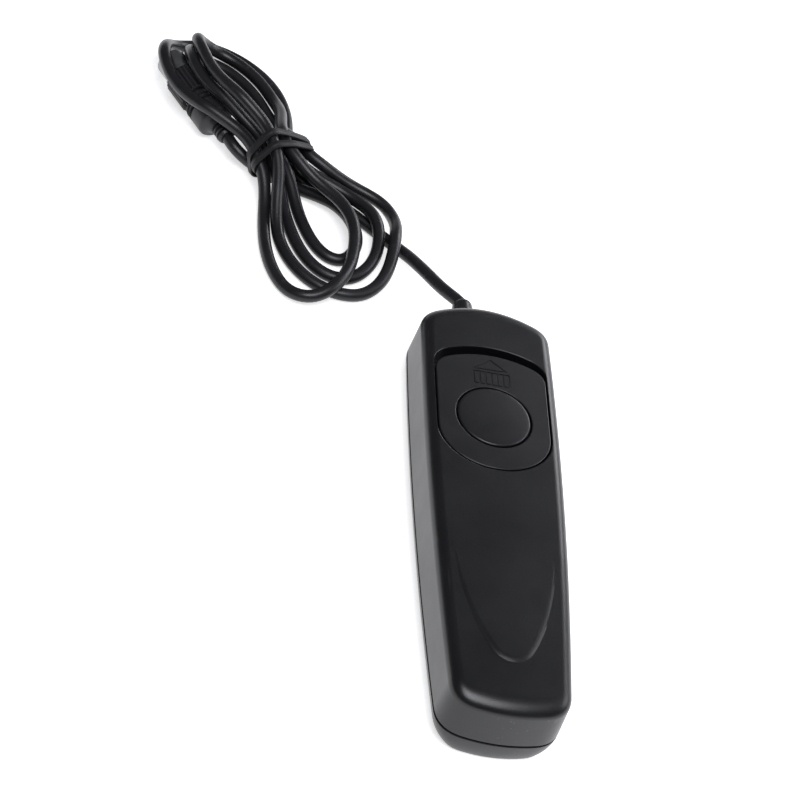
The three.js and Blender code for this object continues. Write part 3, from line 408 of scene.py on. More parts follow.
def casing_outline(fine=20):
    """The casing seen from the front, anticlockwise from the left of its bottom end."""
    foot = (BOTTOM_HALF - BOTTOM_CORNER[0], BOTTOM_Y + BOTTOM_BULGE)
    head = (TOP_HALF - TOP_CORNER[0], TOP_Y - TOP_BULGE)
    low = (BOTTOM_HALF, foot[1] + BOTTOM_CORNER[1])
    high = (TOP_HALF, head[1] - TOP_CORNER[1])
    swell = (TOP_HALF + SIDE_SWELL, (low[1] + high[1]) / 2)
    top_pull = head[1] - TOP_CORNER[0] * 2 * TOP_BULGE / head[0]
    bottom_pull = foot[1] + BOTTOM_CORNER[0] * 2 * BOTTOM_BULGE / foot[0]

    def left(point):
        return (-point[0], point[1])

    points = []
    points += quadratic(left(foot), (0, BOTTOM_Y - BOTTOM_BULGE), foot, fine)
    points += quadratic(foot, (BOTTOM_HALF - 0.2, bottom_pull), low, fine // 2)
    points += quadratic(low, swell, high, fine)
    points += quadratic(high, (TOP_HALF, top_pull), head, fine // 2)
    points += quadratic(head, (0, TOP_Y + TOP_BULGE), left(head), fine)
    points += quadratic(left(head), (-TOP_HALF, top_pull), left(high), fine // 2)
    points += quadratic(left(high), left(swell), left(low), fine)
    points += quadratic(left(low), (-BOTTOM_HALF + 0.2, bottom_pull), left(foot), fine // 2)
    return points


OUTLINE = casing_outline()


def casing_ring(height, side_inset, end_inset=None):
    """The casing's outline at a height, drawn in at its sides and at its ends."""
    end_inset = side_inset if end_inset is None else end_inset
    ring = []
    for i, (x, y) in enumerate(OUTLINE):
        before, after = OUTLINE[i - 1], OUTLINE[(i + 1) % len(OUTLINE)]
        dx, dy = after[0] - before[0], after[1] - before[1]
        size = math.hypot(dx, dy)
        ring.append((x - dy / size * side_inset, y + dx / size * end_inset, height))
    return ring


def shield_ring(grow, rise, height, fine=14):
    """The hold slide's outline, grown by a distance, anticlockwise from the left of its foot."""
    half, foot_y = SHIELD_HALF + grow, SHIELD_BOTTOM + SHIELD_FOOT
    crown_y, radius, corner = SHIELD_TOP + rise + grow, SHIELD_CROWN + grow, SHIELD_CORNER + grow

    def drop(x):
        return radius - math.sqrt(radius * radius - x * x)

    turn_x = half - corner
    depth = SHIELD_FOOT + grow
    ring = []
    for i in range(3 * fine):
        angle = math.pi + math.pi * i / (3 * fine)
        ring.append((half * math.cos(angle), foot_y + depth * math.sin(angle)))
    right = (half, crown_y - drop(half) - corner)
    shoulder = (turn_x, crown_y - drop(turn_x))
    ring += [(half, foot_y + (right[1] - foot_y) * i / 6) for i in range(6)]
    ring += quadratic(right, (half, crown_y - drop(half)), shoulder, fine)
    lean = math.asin(turn_x / radius)
    for i in range(2 * fine):
        angle = math.pi / 2 - lean + 2 * lean * i / (2 * fine)
        ring.append((radius * math.cos(angle), crown_y - radius + radius * math.sin(angle)))
    ring += quadratic((-turn_x, shoulder[1]), (-half, crown_y - drop(half)), (-half, right[1]), fine)
    ring += [(-half, right[1] + (foot_y - right[1]) * i / 6) for i in range(6)]
    return [(x, y, height) for x, y in ring]


def pad_ring(grow, height, fine=24):
    """The thumb pad's outline, round at its tip, grown sideways and at the tip."""
    reach = FALL_START - PAD_POINT[1]
    shoulder = (PAD_HALF * 0.92, PAD_POINT[1] + reach * 0.52)
    brow = (PAD_HALF * 0.37, PAD_POINT[1] + reach * 0.09)

    def cubic(a, b, c, d, t):
        s = 1 - t
        return tuple(
            s**3 * p + 3 * s * s * t * q + 3 * s * t * t * r + t**3 * u for p, q, r, u in zip(a, b, c, d)
        )

    start, end = (-PAD_HALF, FALL_START + 0.5), (PAD_HALF, FALL_START + 0.5)
    left = [
        cubic(start, (-shoulder[0], shoulder[1]), (PAD_POINT[0] - brow[0], brow[1]), PAD_POINT, i / fine)
        for i in range(fine)
    ]
    right = [
        cubic(PAD_POINT, (PAD_POINT[0] + brow[0], brow[1]), shoulder, end, i / fine) for i in range(fine + 1)
    ]
    blunt = 5
    tip = (PAD_POINT[0], PAD_POINT[1] + PAD_TIP_RISE)
    line = left[: fine - blunt] + quadratic(left[fine - blunt], tip, right[blunt], 2 * blunt) + right[blunt:]
    ring = []
    for i, (x, y) in enumerate(line):
        before, after = line[max(0, i - 1)], line[min(len(line) - 1, i + 1)]
        dx, dy = after[0] - before[0], after[1] - before[1]
        size = math.hypot(dx, dy)
        ring.append((x + dy / size * grow, y - dx / size * grow, height))
    return ring


def falling(ring):
    """The ring's heights changed so that the whole front slopes through the line where its fall starts."""
    slope = FALL_DEPTH / (FALL_START - BOTTOM_Y)
    share = [(z - FRONT_BASE) / (CASE_HEIGHT - FRONT_BASE) for _, _, z in ring]
    return [(x, y, z + s * slope * (y - FALL_START)) for (x, y, z), s in zip(ring, share)]


def cable_neck():
    """The cutter for the cable's way through the casing's end wall."""
    profile = [(0, -NECK_REACH), (NECK_RADIUS, -NECK_REACH), (NECK_RADIUS, NECK_REACH), (0, NECK_REACH)]
    return turned("neck", profile, 48, (CABLE_X, TOP_Y, CABLE_Z), "Y")


def front_shell():
    base_edge = 0.18
    rings = [casing_ring(FRONT_BASE, base_edge), casing_ring(FRONT_BASE + base_edge, 0.02)]
    edge = CASE_HEIGHT - ROLL_DEPTH
    for inward, upward in quarter(14):
        height = edge + ROLL_DEPTH * upward
        rings.append(casing_ring(height, FRONT_DRAFT + SIDE_ROLL * inward, FRONT_DRAFT + END_ROLL * inward))
    ceiling = CASE_HEIGHT - FRONT_WALL
    hollow = loft(
        "hollow",
        [
            casing_ring(FRONT_BASE - 1, FRONT_WALL),
            casing_ring(ceiling - 1, FRONT_WALL + FRONT_DRAFT),
            casing_ring(ceiling, FRONT_WALL + FRONT_DRAFT + 1),
        ],
    )
    # How far out from the pad's edge, and how far below its top, its falling side runs
    pad_steps = [(0.0, 0.0), (0.35, 0.02), (0.75, 0.1), (1.2, 0.26), (1.65, 0.44), (2.1, 0.6), (2.4, 1.3)]
    pad_top = CASE_HEIGHT - 0.004
    pad = loft("pad", [pad_ring(out, pad_top - drop) for out, drop in reversed(pad_steps)])
    grow = SLIDE_GAP + RECESS_WALL
    tray = loft("tray", [shield_ring(grow, HOLD_TRAVEL, z) for z in (FLOOR_BOTTOM, ceiling + 0.5)])
    lip = 0.3
    recess_rings = [shield_ring(SLIDE_GAP, HOLD_TRAVEL, FLOOR_TOP)]
    for inward, upward in quarter(4):
        height = CASE_HEIGHT - lip + lip * upward
        recess_rings.append(shield_ring(SLIDE_GAP + lip * inward, HOLD_TRAVEL, height))
    recess_rings.append(shield_ring(SLIDE_GAP + lip + 0.05, HOLD_TRAVEL, CASE_HEIGHT + 1))
    recess = loft("recess", recess_rings)
    stem_room = STEM_RADIUS + 0.3
    stem_slot = box(
        "stem_slot",
        (-stem_room, BUTTON_Y - stem_room, FLOOR_BOTTOM - 1),
        (stem_room, BUTTON_Y + stem_room + HOLD_TRAVEL, FLOOR_TOP + 1),
    )
    below_neck = box(
        "below_neck",
        (CABLE_X - NECK_RADIUS, TOP_Y - NECK_REACH, FRONT_BASE - 1),
        (CABLE_X + NECK_RADIUS, TOP_Y + NECK_REACH, CABLE_Z),
    )
    shell = carve(
        loft("front_shell_skin", rings),
        ("INTERSECT", loft("sloping", [falling(ring) for ring in rings])),
        ("UNION", pad),
        ("DIFFERENCE", hollow),
        ("UNION", tray),
        ("DIFFERENCE", recess),
        ("DIFFERENCE", stem_slot),
        ("DIFFERENCE", cable_neck()),
        ("DIFFERENCE", below_neck),
    )
    return dressed(shell, "shell", "front_shell", "casing")


def back_shell():
    rings = []
    for inward, downward in reversed(quarter(10)):
        height = BACK_TOP * (1 - downward)
        rings.append(casing_ring(height, BACK_ROUND[0] * inward, BACK_ROUND[1] * inward))
    rings[-1] = casing_ring(BACK_TOP - 0.15, 0.0)
    rings.append(casing_ring(BACK_TOP, 0.15))
    hollow = loft(
        "hollow",
        [
            casing_ring(BACK_WALL, BACK_ROUND[0] + 0.5, BACK_ROUND[1] + BACK_WALL),
            casing_ring(2 * BACK_WALL, 1.75 * BACK_WALL, 1.25 * BACK_WALL),
            casing_ring(BACK_TOP, BACK_WALL),
            casing_ring(BACK_TOP + 1, BACK_WALL),
        ],
    )
    steps = [("DIFFERENCE", hollow)]
    for i, y in enumerate(SCREW_YS):
        boss = turned(f"boss_{i}", [(0, 0.5), (3.3, 0.5), (3.3, BACK_TOP), (0, BACK_TOP)], 48, (0, y, 0))
        mouth, bore = SCREW_WELL + 0.25, 1.3
        profile = [(0, -1), (mouth, -1), (mouth, 0), (SCREW_WELL + 0.07, 0.07), (SCREW_WELL, 0.25)]
        profile += [(SCREW_WELL, SCREW_SINK), (bore, SCREW_SINK), (bore, 8), (0, 8)]
        well = turned(f"well_{i}", profile, 48, (0, y, 0))
        steps += [("UNION", boss), ("DIFFERENCE", well)]
    shell = carve(loft("back_shell_skin", rings), *steps, ("DIFFERENCE", cable_neck()))
    return dressed(shell, "shell", "back_shell", "casing")


front_shell()
back_shell()

# ---------------------------------------------------------------- hold slide and button

MARK_DEPTH = 0.1
LEG_REACH = 1.3  # how far the slide's legs stand out under the recess floor
ARROW = [(-3.45, 32.62), (0.1, 35.35), (3.3, 32.78)]
ARROW_LINE = 0.3
BAR_COUNT, BAR_WIDTH = 7, 0.42
BARS_LEFT, BARS_RIGHT, BARS_LOW, BARS_HIGH = -3.75, 3.75, 28.75, 31.75


def prism(name, outline, low, high):
    """A tool with one outline from one height to another."""
    return loft(name, [[(x, y, z) for x, y in outline] for z in (low, high)])


def stroke(name, a, b, width, deeper=0.0):
    """A cutter along a line on the slide's face; deeper keeps cutters that meet out of one plane."""
    (ax, ay), (bx, by) = a, b
    size = math.hypot(bx - ax, by - ay)
    nx, ny = -(by - ay) / size * width / 2, (bx - ax) / size * width / 2
    ex, ey = (bx - ax) / size * width / 2, (by - ay) / size * width / 2
    corners = [
        (ax - nx - ex, ay - ny - ey),
        (bx - nx + ex, by - ny + ey),
        (bx + nx + ex, by + ny + ey),
        (ax + nx - ex, ay + ny - ey),
    ]
    return prism(name, corners, PLATE_TOP - MARK_DEPTH - deeper, PLATE_TOP + 1 + deeper)


def marks_cutter():
    """An arrowhead in outline over a row of plain bars between two rules."""
    cutters = [
        stroke(f"arrow_{i}", ARROW[i], ARROW[(i + 1) % 3], ARROW_LINE, 0.002 * i) for i in range(3)
    ]
    span = BARS_RIGHT - BARS_LEFT
    for i in range(BAR_COUNT):
        x = BARS_LEFT + span * i / (BAR_COUNT - 1)
        cutters.append(stroke(f"bar_{i}", (x, BARS_LOW), (x, BARS_HIGH), BAR_WIDTH))
    for i, y in enumerate((BARS_LOW - 0.15, BARS_HIGH + 0.15)):
        cutters.append(stroke(f"rule_{i}", (BARS_LEFT, y), (BARS_RIGHT, y), 0.3, 0.008))
    return carve(cutters[0], *[("UNION", cutter) for cutter in cutters[1:]])


def hold_slide():
    edge = 0.28
    rings = [shield_ring(0, 0, SLIDE_BOTTOM)]
    for inward, upward in quarter(5):
        rings.append(shield_ring(-edge * inward, 0, PLATE_TOP - edge + edge * upward))
    hollow = loft("hollow", [shield_ring(-SLIDE_RIM, 0, z) for z in (SLIDE_BOTTOM - 1, PLATE_BOTTOM)])
    guide = BUTTON_RADIUS + BUTTON_GAP
    well = guide + 1.0
    rim, collar_top = well + SLIDE_RIM, PLATE_BOTTOM + 0.5
    collar_profile = [(0, SLIDE_BOTTOM), (rim, SLIDE_BOTTOM), (rim, collar_top), (0, collar_top)]
    collar = turned("collar", collar_profile, 96, (0, BUTTON_Y, 0))
    trim = loft("trim", [shield_ring(-0.5, 0, z) for z in (SLIDE_BOTTOM - 1, 20)])
    kept = carve(collar, ("INTERSECT", trim))
    lip = 0.22
    hole = [(0, SLIDE_BOTTOM - 1), (well, SLIDE_BOTTOM - 1), (well, PLATE_BOTTOM), (guide, PLATE_BOTTOM)]
    for inward, upward in quarter(4):
        hole.append((guide + lip * inward, PLATE_TOP - lip + lip * upward))
    hole += [(guide + lip + 0.05, PLATE_TOP + 1), (0, PLATE_TOP + 1)]
    legs = []
    for i, (x, y) in enumerate((x, y) for x in (-LEG_X, LEG_X) for y in LEG_YS):
        low = (x - LEG_SIZE[0] / 2, y - LEG_SIZE[1] / 2, FLOOR_BOTTOM - LEG_REACH)
        high = (x + LEG_SIZE[0] / 2, y + LEG_SIZE[1] / 2, PLATE_BOTTOM + 0.3)
        legs.append(("UNION", box(f"leg_{i}", low, high)))
    slide = carve(
        loft("hold_slide_plate", rings),
        ("DIFFERENCE", hollow),
        ("UNION", kept),
        ("DIFFERENCE", turned("hole", hole, 128, (0, BUTTON_Y, 0))),
        *legs,
        ("DIFFERENCE", marks_cutter()),
    )
    return dressed(slide, "slide", "hold_slide", "slide")


def release_button():
    """A cap with a rolled edge and a low dome, its flange under the plate and its stem."""
    top, edge, dome, dome_steps = PLATE_TOP + 0.15, 0.42, 0.16, 12
    flange, flange_top = BUTTON_RADIUS + 1, PLATE_BOTTOM - 0.2
    profile = [
        (0, STEM_TIP),
        (STEM_RADIUS - 0.5, STEM_TIP),
        (STEM_RADIUS - 0.15, STEM_TIP + 0.15),
        (STEM_RADIUS, STEM_TIP + 0.5),
        (STEM_RADIUS, flange_top - 0.8),
        (flange, flange_top - 0.8),
        (flange, flange_top),
        (BUTTON_RADIUS, flange_top),
    ]
    for inward, upward in quarter(6):
        profile.append((BUTTON_RADIUS - edge * inward, top - edge + edge * upward))
    for i in range(1, dome_steps + 1):
        share = 1 - i / dome_steps
        profile.append(((BUTTON_RADIUS - edge) * share, top + dome * (1 - share * share)))
    button = turned("release_button_cap", profile, 128, (0, BUTTON_Y, 0))
    return dressed(button, "button", "release_button", "button")


hold_slide()
release_button()

# ---------------------------------------------------------------- cable

WAIST, LEAN = (-42.5, 98.5), math.radians(24)
ALONG_HANK = (-math.sin(LEAN), math.cos(LEAN), 0)
ACROSS_HANK = (math.cos(LEAN), math.sin(LEAN), 0)
LAYER_PITCH, TIE_LIFT = 3.8, 1.3
# How high strands climb over the plug, how far round it they start, and its line in the hank
PLUG_LIFT, PLUG_REACH, PLUG_LINE = 9.3, 9, ((15.5, -9.6), (34.5, -12))
# Where each run passes the waist: along, across, layer, slant in degrees, and the share of the lobe
# before it over which the cable climbs to that layer
SLOTS = [
    (0, 5.2, 0, 0, (0.3, 0.7)),
    (0, -6.9, 1, 0, (0.2, 0.4)),
    (0, 1.7, 2, 0, (0.25, 0.48)),
    (0, -3.6, 2, 0, (0.3, 0.7)),
    (0, 8, 1, 0, (0.16, 0.38)),
    (0, -3.4, 1, 0, (0.3, 0.7)),
    (0, 3.6, 1, 0, (0.3, 0.7)),
    (0, 0, 1, 0, (0.3, 0.7)),
    (-3, 0.2, 0.03, 38, (0.86, 1)),
]
# Side of the waist, centre, half width, depth, lean in degrees. The first lobe is fitted to the photo
# once more, so its numbers differ a little from those of the part
LOBES = [
    (1, (20.6, -1.5), 12.1, 23.0, 9),
    (-1, (20.5, -1), 9.7, 21.5, 22),
    (1, (22, -0.2), 8.8, 17.2, 5),
    (-1, (16.8, 7.6), 14.2, 24.8, 19),
    (1, (22.5, -2.1), 8.3, 15.9, 9),
    (-1, (18, 6.2), 9.9, 18.8, 17),
    (1, (24.5, -2), 4.1, 8.5, 8),
    (-1, (20, 5.3), 5.8, 12, 18),
]
# From the sleeve to the hank; the first six points are fitted to the photo once more, like the lobe
MOUTH_HEADING = (-0.2, 1.1, 0)
LEAD = [
    (-4.5, 60.8, 8.2),
    (-6.2, 63.1, 7.8),
    (-8.2, 67.3, 6.8),
    (-10.3, 71.5, 5.5),
    (-12.5, 76.0, 3.9),
    (-15.3, 80.2, 2.4),
    (-21.4, 86.4, 1.45),
    (-25.4, 89.3, 1.45),
    (-28.2, 91.4, 1.5),
    (-32, 94.1, 1.7),
    (-34.6, 96.2, 2.2),
]
TAIL = [(-46, 98.6, 2.9), (-49.4, 98.9, 3.6)]
STRAIGHT_RUN = 3.1  # kept straight at the hank's two ends and behind the plug
RELIEF_LENGTH = 5.0
PLUG_AT, PLUG_TURN = Vector((-56.4, 106.9, 4.75)), math.radians(31.3)
PLUG_AXIS = Vector((-math.sin(PLUG_TURN), math.cos(PLUG_TURN), 0))


def ease(low, high, value):
    """A share from 0 to 1 that starts and stops softly while the value goes from low to high."""
    share = min(1.0, max(0.0, (value - low) / (high - low)))
    return share * share * (3 - 2 * share)


def stand_off(place, layer):
    """Height of the cable's middle over the table at a place in the hank."""
    over_tie = TIE_LIFT * (1 - ease(3, 11, abs(place.x)))
    near_waist = 1 - ease(8, 22, abs(place.x))
    over_lead = ease(0, 9, place.y) if place.x < 0 else 0
    crossing = max(near_waist, over_lead) * LAYER_PITCH * min(layer, 1)
    start, end = map(Vector, PLUG_LINE)
    line = end - start
    share = (place - start).dot(line) / line.length_squared
    away = (place - (start + line * min(1.0, max(0.0, share)))).length
    bump = PLUG_LIFT * math.exp(-((away / PLUG_REACH) ** 2))
    slope = 2 * bump * away / PLUG_REACH**2
    upper = max(0, layer - 1) * LAYER_PITCH * math.hypot(1, slope)
    return CABLE_RADIUS + over_tie + crossing + bump + upper


def bend_between(waist, away, far, onward, share):
    """A place on the curve that leaves the waist one way and reaches a lobe another way."""
    near_pull, far_pull = 0.22, 0.46
    reach = (far - waist).length
    a, b = waist + away * reach * near_pull, far - onward * reach * far_pull
    s = 1 - share
    return s**3 * waist + 3 * s * s * share * a + 3 * s * share * share * b + share**3 * far


def lobe_points(lobe, start_slot, end_slot, fine=5):
    """Places and layers of one lobe: a curve out from the waist, a half oval, and a curve back."""
    side, centre, half, depth, lean = lobe
    turn = math.radians(lean)
    outward = Vector((side * math.cos(turn), -math.sin(turn)))
    across = Vector((-outward.y, outward.x))
    start, finish = Vector(start_slot[:2]), Vector(end_slot[:2])
    middle = Vector((side * centre[0], centre[1]))
    entry, leave = middle + across * half, middle - across * half
    slant = math.radians(end_slot[3])
    back = Vector((side * math.cos(slant), math.sin(slant)))
    places = []
    legs, arc = 3 * fine, 7 * fine
    for i in range(legs):
        places.append((i / fine, bend_between(start, Vector((side, 0)), entry, outward, i / legs)))
    for i in range(arc + 1):
        angle = math.pi * i / arc
        place = middle + across * (half * math.cos(angle)) + outward * (depth * math.sin(angle))
        places.append((3 + i / fine, place))
    for i in range(legs - 1, 0, -1):
        places.append((10 + (legs - i) / fine, bend_between(finish, back, leave, outward, i / legs)))
    climb, below, above = end_slot[4], start_slot[2], end_slot[2]
    return [(place, below + (above - below) * ease(*climb, step / 13)) for step, place in places]


def hank_line():
    """The middle of the cable through all the lobes, before it settles."""
    along, across = Vector(ALONG_HANK[:2]), Vector(ACROSS_HANK[:2])
    placed = []
    for i, lobe in enumerate(LOBES):
        placed += lobe_points(lobe, SLOTS[i], SLOTS[i + 1])
    placed.append((Vector(SLOTS[-1][:2]), SLOTS[-1][2]))
    line = []
    for place, layer in placed:
        spot = Vector(WAIST) + along * place.x + across * place.y
        line.append(Vector((spot.x, spot.y, stand_off(place, layer))))
    return line


def rounded_through(points, step=1.2):
    """A centripetal curve through the points, sampled about every step."""
    points = [Vector(p) for p in points]
    ends = [points[0] * 2 - points[1], *points, points[-1] * 2 - points[-2]]
    line = []
    for a, b, c, d in zip(ends, ends[1:], ends[2:], ends[3:]):
        t0, t1 = 0.0, (b - a).length ** 0.5
        t2 = t1 + (c - b).length ** 0.5
        t3 = t2 + (d - c).length ** 0.5
        count = max(2, round((c - b).length / step))
        for i in range(count):
            t = t1 + (t2 - t1) * i / count
            a1 = a * ((t1 - t) / (t1 - t0)) + b * ((t - t0) / (t1 - t0))
            a2 = b * ((t2 - t) / (t2 - t1)) + c * ((t - t1) / (t2 - t1))
            a3 = c * ((t3 - t) / (t3 - t2)) + d * ((t - t2) / (t3 - t2))
            b1 = a1 * ((t2 - t) / (t2 - t0)) + a2 * ((t - t0) / (t2 - t0))
            b2 = a2 * ((t3 - t) / (t3 - t1)) + a3 * ((t - t1) / (t3 - t1))
            line.append(b1 * ((t2 - t) / (t2 - t1)) + b2 * ((t - t1) / (t2 - t1)))
    line.append(points[-1])
    return line


def cable_line():
    """The middle of the whole cable, from the casing's mouth to the plug, before it settles."""
    hank = hank_line()
    mouth = Vector((CABLE_X, MOUTH_Y, CABLE_Z))
    start = [mouth, mouth + Vector(MOUTH_HEADING), *map(Vector, LEAD)]
    away = (hank[0] - hank[1]).normalized()
    start += [hank[0] + away * STRAIGHT_RUN, hank[0]]
    away = (hank[-1] - hank[-2]).normalized()
    relief = PLUG_AT - PLUG_AXIS * RELIEF_LENGTH
    end = [hank[-1], hank[-1] + away * STRAIGHT_RUN, *map(Vector, TAIL)]
    end += [relief - PLUG_AXIS * STRAIGHT_RUN, relief]
    return rounded_through(start)[:-1] + hank + rounded_through(end)[1:]


def even_steps(points, step=None, count=None):
    """The line through the points in equal steps of about one length, or so many; its ends are kept."""
    travelled = np.concatenate([[0], np.cumsum(np.linalg.norm(np.diff(points, axis=0), axis=1))])
    at = np.linspace(0, travelled[-1], (count or round(travelled[-1] / step)) + 1)
    return np.stack([np.interp(at, travelled, column) for column in points.T], axis=1)


def hank_places(points):
    """Each point's place along and across the hank."""
    away = points[:, :2] - np.array(WAIST)
    return away @ np.array(ALONG_HANK[:2]), away @ np.array(ACROSS_HANK[:2])


# Start, end and radius of the plug's relief, of its body with the ring, and of its barrel
PLUG_STRETCHES = [(-5.5, 0.5, 2.1), (0.5, 16.0, 4.4), (16.0, 22.0, 3.6)]


def clear_of_plug(points, last):
    """Pushes points out of the plug; the cable's last stretch runs into it and is left alone."""
    axis = np.array(PLUG_AXIS)
    for low, high, radius in PLUG_STRETCHES:
        away = points[:last] - np.array(PLUG_AT)
        on = away @ axis
        off = away - on[:, None] * axis
        size = np.linalg.norm(off, axis=1)
        short = (on > low) & (on < high) & (size < radius + CABLE_RADIUS)
        points[:last][short] += off[short] * ((radius + CABLE_RADIUS) / size[short] - 1)[:, None]


LEASH, WAIST_HOLD = 2.8, 1.5  # how far the cable may settle, and how much less at the waist
LEAD_LEASH, LEAD_HOLD = 0.4, 36  # how little the lead may settle, and how much of it
STIFFNESS, WEIGHT, DRAW_IN = 0.09, 0.012, 0.02
STRAND_GAP, TABLE_GAP = 0.12, 0.02
TOUCHING = 2 * CABLE_RADIUS + STRAND_GAP


def with_middles(count):
    """The matrix that adds a point halfway between each two of a line's points."""
    points = np.eye(count)
    mix = np.zeros((2 * count - 1, count))
    mix[::2], mix[1::2] = points, (points[:-1] + points[1:]) / 2
    return mix


def leashes(home, from_start, from_ends):
    """How far each point may settle: least at the cable's ends and in its lead, less at the waist."""
    along = hank_places(home)[0]
    leash = LEASH - WAIST_HOLD * np.exp(-((along / 6) ** 2))
    leash *= np.clip((from_ends - 2) / 8, 0, 1)
    return np.minimum(leash, LEAD_LEASH + 0.08 * np.clip(from_start - LEAD_HOLD, 0, 30))


def settled(line, step=2.4, rounds=420):
    """The cable once its own stiffness has evened out its bends.

    Stretches that touch push each other apart, the table and the plug hold it up, the tie draws its
    waist in, and nothing leaves its place on the given line by more than a leash.
    """
    home = even_steps(np.array([tuple(p) for p in line]), step)
    place, count = home.copy(), len(home)
    mix = with_middles(count)
    dense = mix @ home
    apart = np.linalg.norm(dense[:, None] - dense[None], axis=2)
    near, neighbours = 9, 10  # pairs that may come to touch; points close along the cable are none
    a, b = np.nonzero(np.triu(apart < near, neighbours))
    from_start = np.arange(count) * step
    from_ends = np.minimum(from_start, from_start[::-1])
    leash = leashes(home, from_start, from_ends)
    tied = np.exp(-((hank_places(home)[0] / 4.5) ** 2)) * (from_ends > 12)
    middle, into_plug, contact_rounds, give = 0.6, 8, 2, 0.6
    sideways = np.array(ACROSS_HANK)
    for _ in range(rounds):
        bend = place[:-4] - 4 * place[1:-3] + 6 * place[2:-2] - 4 * place[3:-1] + place[4:]
        place[2:-2] -= STIFFNESS * bend
        place[:, 2] -= WEIGHT
        across = hank_places(place)[1]
        place -= (DRAW_IN * tied * (across - middle))[:, None] * sideways
        for _ in range(contact_rounds):
            dense = mix @ place
            between = dense[a] - dense[b]
            size = np.linalg.norm(between, axis=1)
            close = size < TOUCHING
            push = between[close] * (0.5 * (TOUCHING / size[close] - 1))[:, None]
            shift = np.zeros_like(dense)
            np.add.at(shift, a[close], push)
            np.add.at(shift, b[close], -push)
            place += give * (mix.T @ shift)
            clear_of_plug(place, count - into_plug)
            place[:, 2] = np.maximum(place[:, 2], CABLE_RADIUS + TABLE_GAP)
        off = place - home
        size = np.maximum(np.linalg.norm(off, axis=1), 1e-9)
        place = home + off * np.minimum(1, leash / size)[:, None]
    return [Vector(p) for p in place]


def round_cable(line):
    """A round curve of the cable's thickness along a line, with closed ends."""
    data = bpy.data.curves.new("cable", "CURVE")
    data.dimensions = "3D"
    data.bevel_depth = CABLE_RADIUS * MM
    data.bevel_resolution = 6
    data.use_fill_caps = True
    spline = data.splines.new("POLY")
    spline.points.add(len(line) - 1)
    for point, place in zip(spline.points, line):
        point.co = (*(place * MM), 1.0)
    spline.use_smooth = True
    data.materials.append(LOOKS["cable"])
    return object_of("cable", data)


CABLE = rounded_through(settled(cable_line()), 0.8)
cable = round_cable(CABLE)
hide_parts("cord_lead", "cord_hank", "cord_tail")
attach(cable, "casing")


def grommet():
    """Flange inside, neck in the wall, a collar and a tapered sleeve outside."""
    bore, base = CABLE_RADIUS + 0.3, TOP_Y + 0.3
    profile = [(bore, 47.5), (4.0, 47.5), (4.0, 48.9), (2.4, 48.9), (2.4, base), (2.9, base)]
    profile += [(3.1, base + 0.2), (3.1, base + 0.9), (2.98, base + 1.12), (2.7, base + 1.2)]
    for i in range(1, 9):
        share = i / 8
        profile.append((2.62 - 0.46 * share, base + 1.25 + 4.5 * share))
    profile += [(2.05, MOUTH_Y - 0.25), (1.88, MOUTH_Y), (bore, MOUTH_Y), (bore, 47.5)]
    sleeve = turned("cable_grommet_sleeve", profile, 64, (CABLE_X, 0, CABLE_Z), "Y")
    return dressed(sleeve, "cable", "cable_grommet", "casing")


grommet()

# ---------------------------------------------------------------- tie

# Turns round the waist from its right, and the place along the hank that the band has there
TIE_PLACES = [(0.06, -1.1), (0.25, -1.9), (0.5, -2.5), (0.75, -1.7), (1.02, 1.9), (1.25, 1.3), (1.5, -0.1)]
TIE_PLACES += [(1.75, 0.7), (1.9, 1.2)]
TIE_HALF_WIDTH = 0.95
TIE_GAP = 0.42  # from the middle of the band to the cable's skin and to the table


def loop_round_waist(core, place, count=160):
    """A loop drawn tight round every stretch of the cable that passes one place along the hank.

    Its points are pairs of a distance across the hank and a height.
    """
    along, across = hank_places(core)
    first = np.nonzero((along[:-1] - place) * (along[1:] - place) < 0)[0]
    reach_of_waist = 14
    first = first[np.abs(across[first]) < reach_of_waist]
    share = ((place - along[first]) / (along[first + 1] - along[first]))[:, None]
    flat = np.stack([across, core[:, 2]], axis=1)
    middles = flat[first] * (1 - share) + flat[first + 1] * share
    slopes = (flat[first + 1] - flat[first]) / (along[first + 1] - along[first])[:, None]
    angle = 2 * math.pi * np.arange(count + 1) / count
    facing = np.stack([np.cos(angle), np.sin(angle)], axis=1)
    reach = middles @ facing.T + (CABLE_RADIUS + TIE_GAP) * np.sqrt(1 + (slopes @ facing.T) ** 2)
    far = reach.max(axis=0)
    sine = math.sin(2 * math.pi / count)
    x = (far[:-1] * facing[1:, 1] - far[1:] * facing[:-1, 1]) / sine
    z = (far[1:] * facing[:-1, 0] - far[:-1] * facing[1:, 0]) / sine
    loop = np.stack([x, z], axis=1)
    return even_steps(np.concatenate([loop, loop[:1]]), count=count)


def smoothed(values, rounds):
    """The values evened out between their two ends, which stay."""
    for _ in range(rounds):
        values[1:-1] = (values[:-2] + 2 * values[1:-1] + values[2:]) / 4
    return values


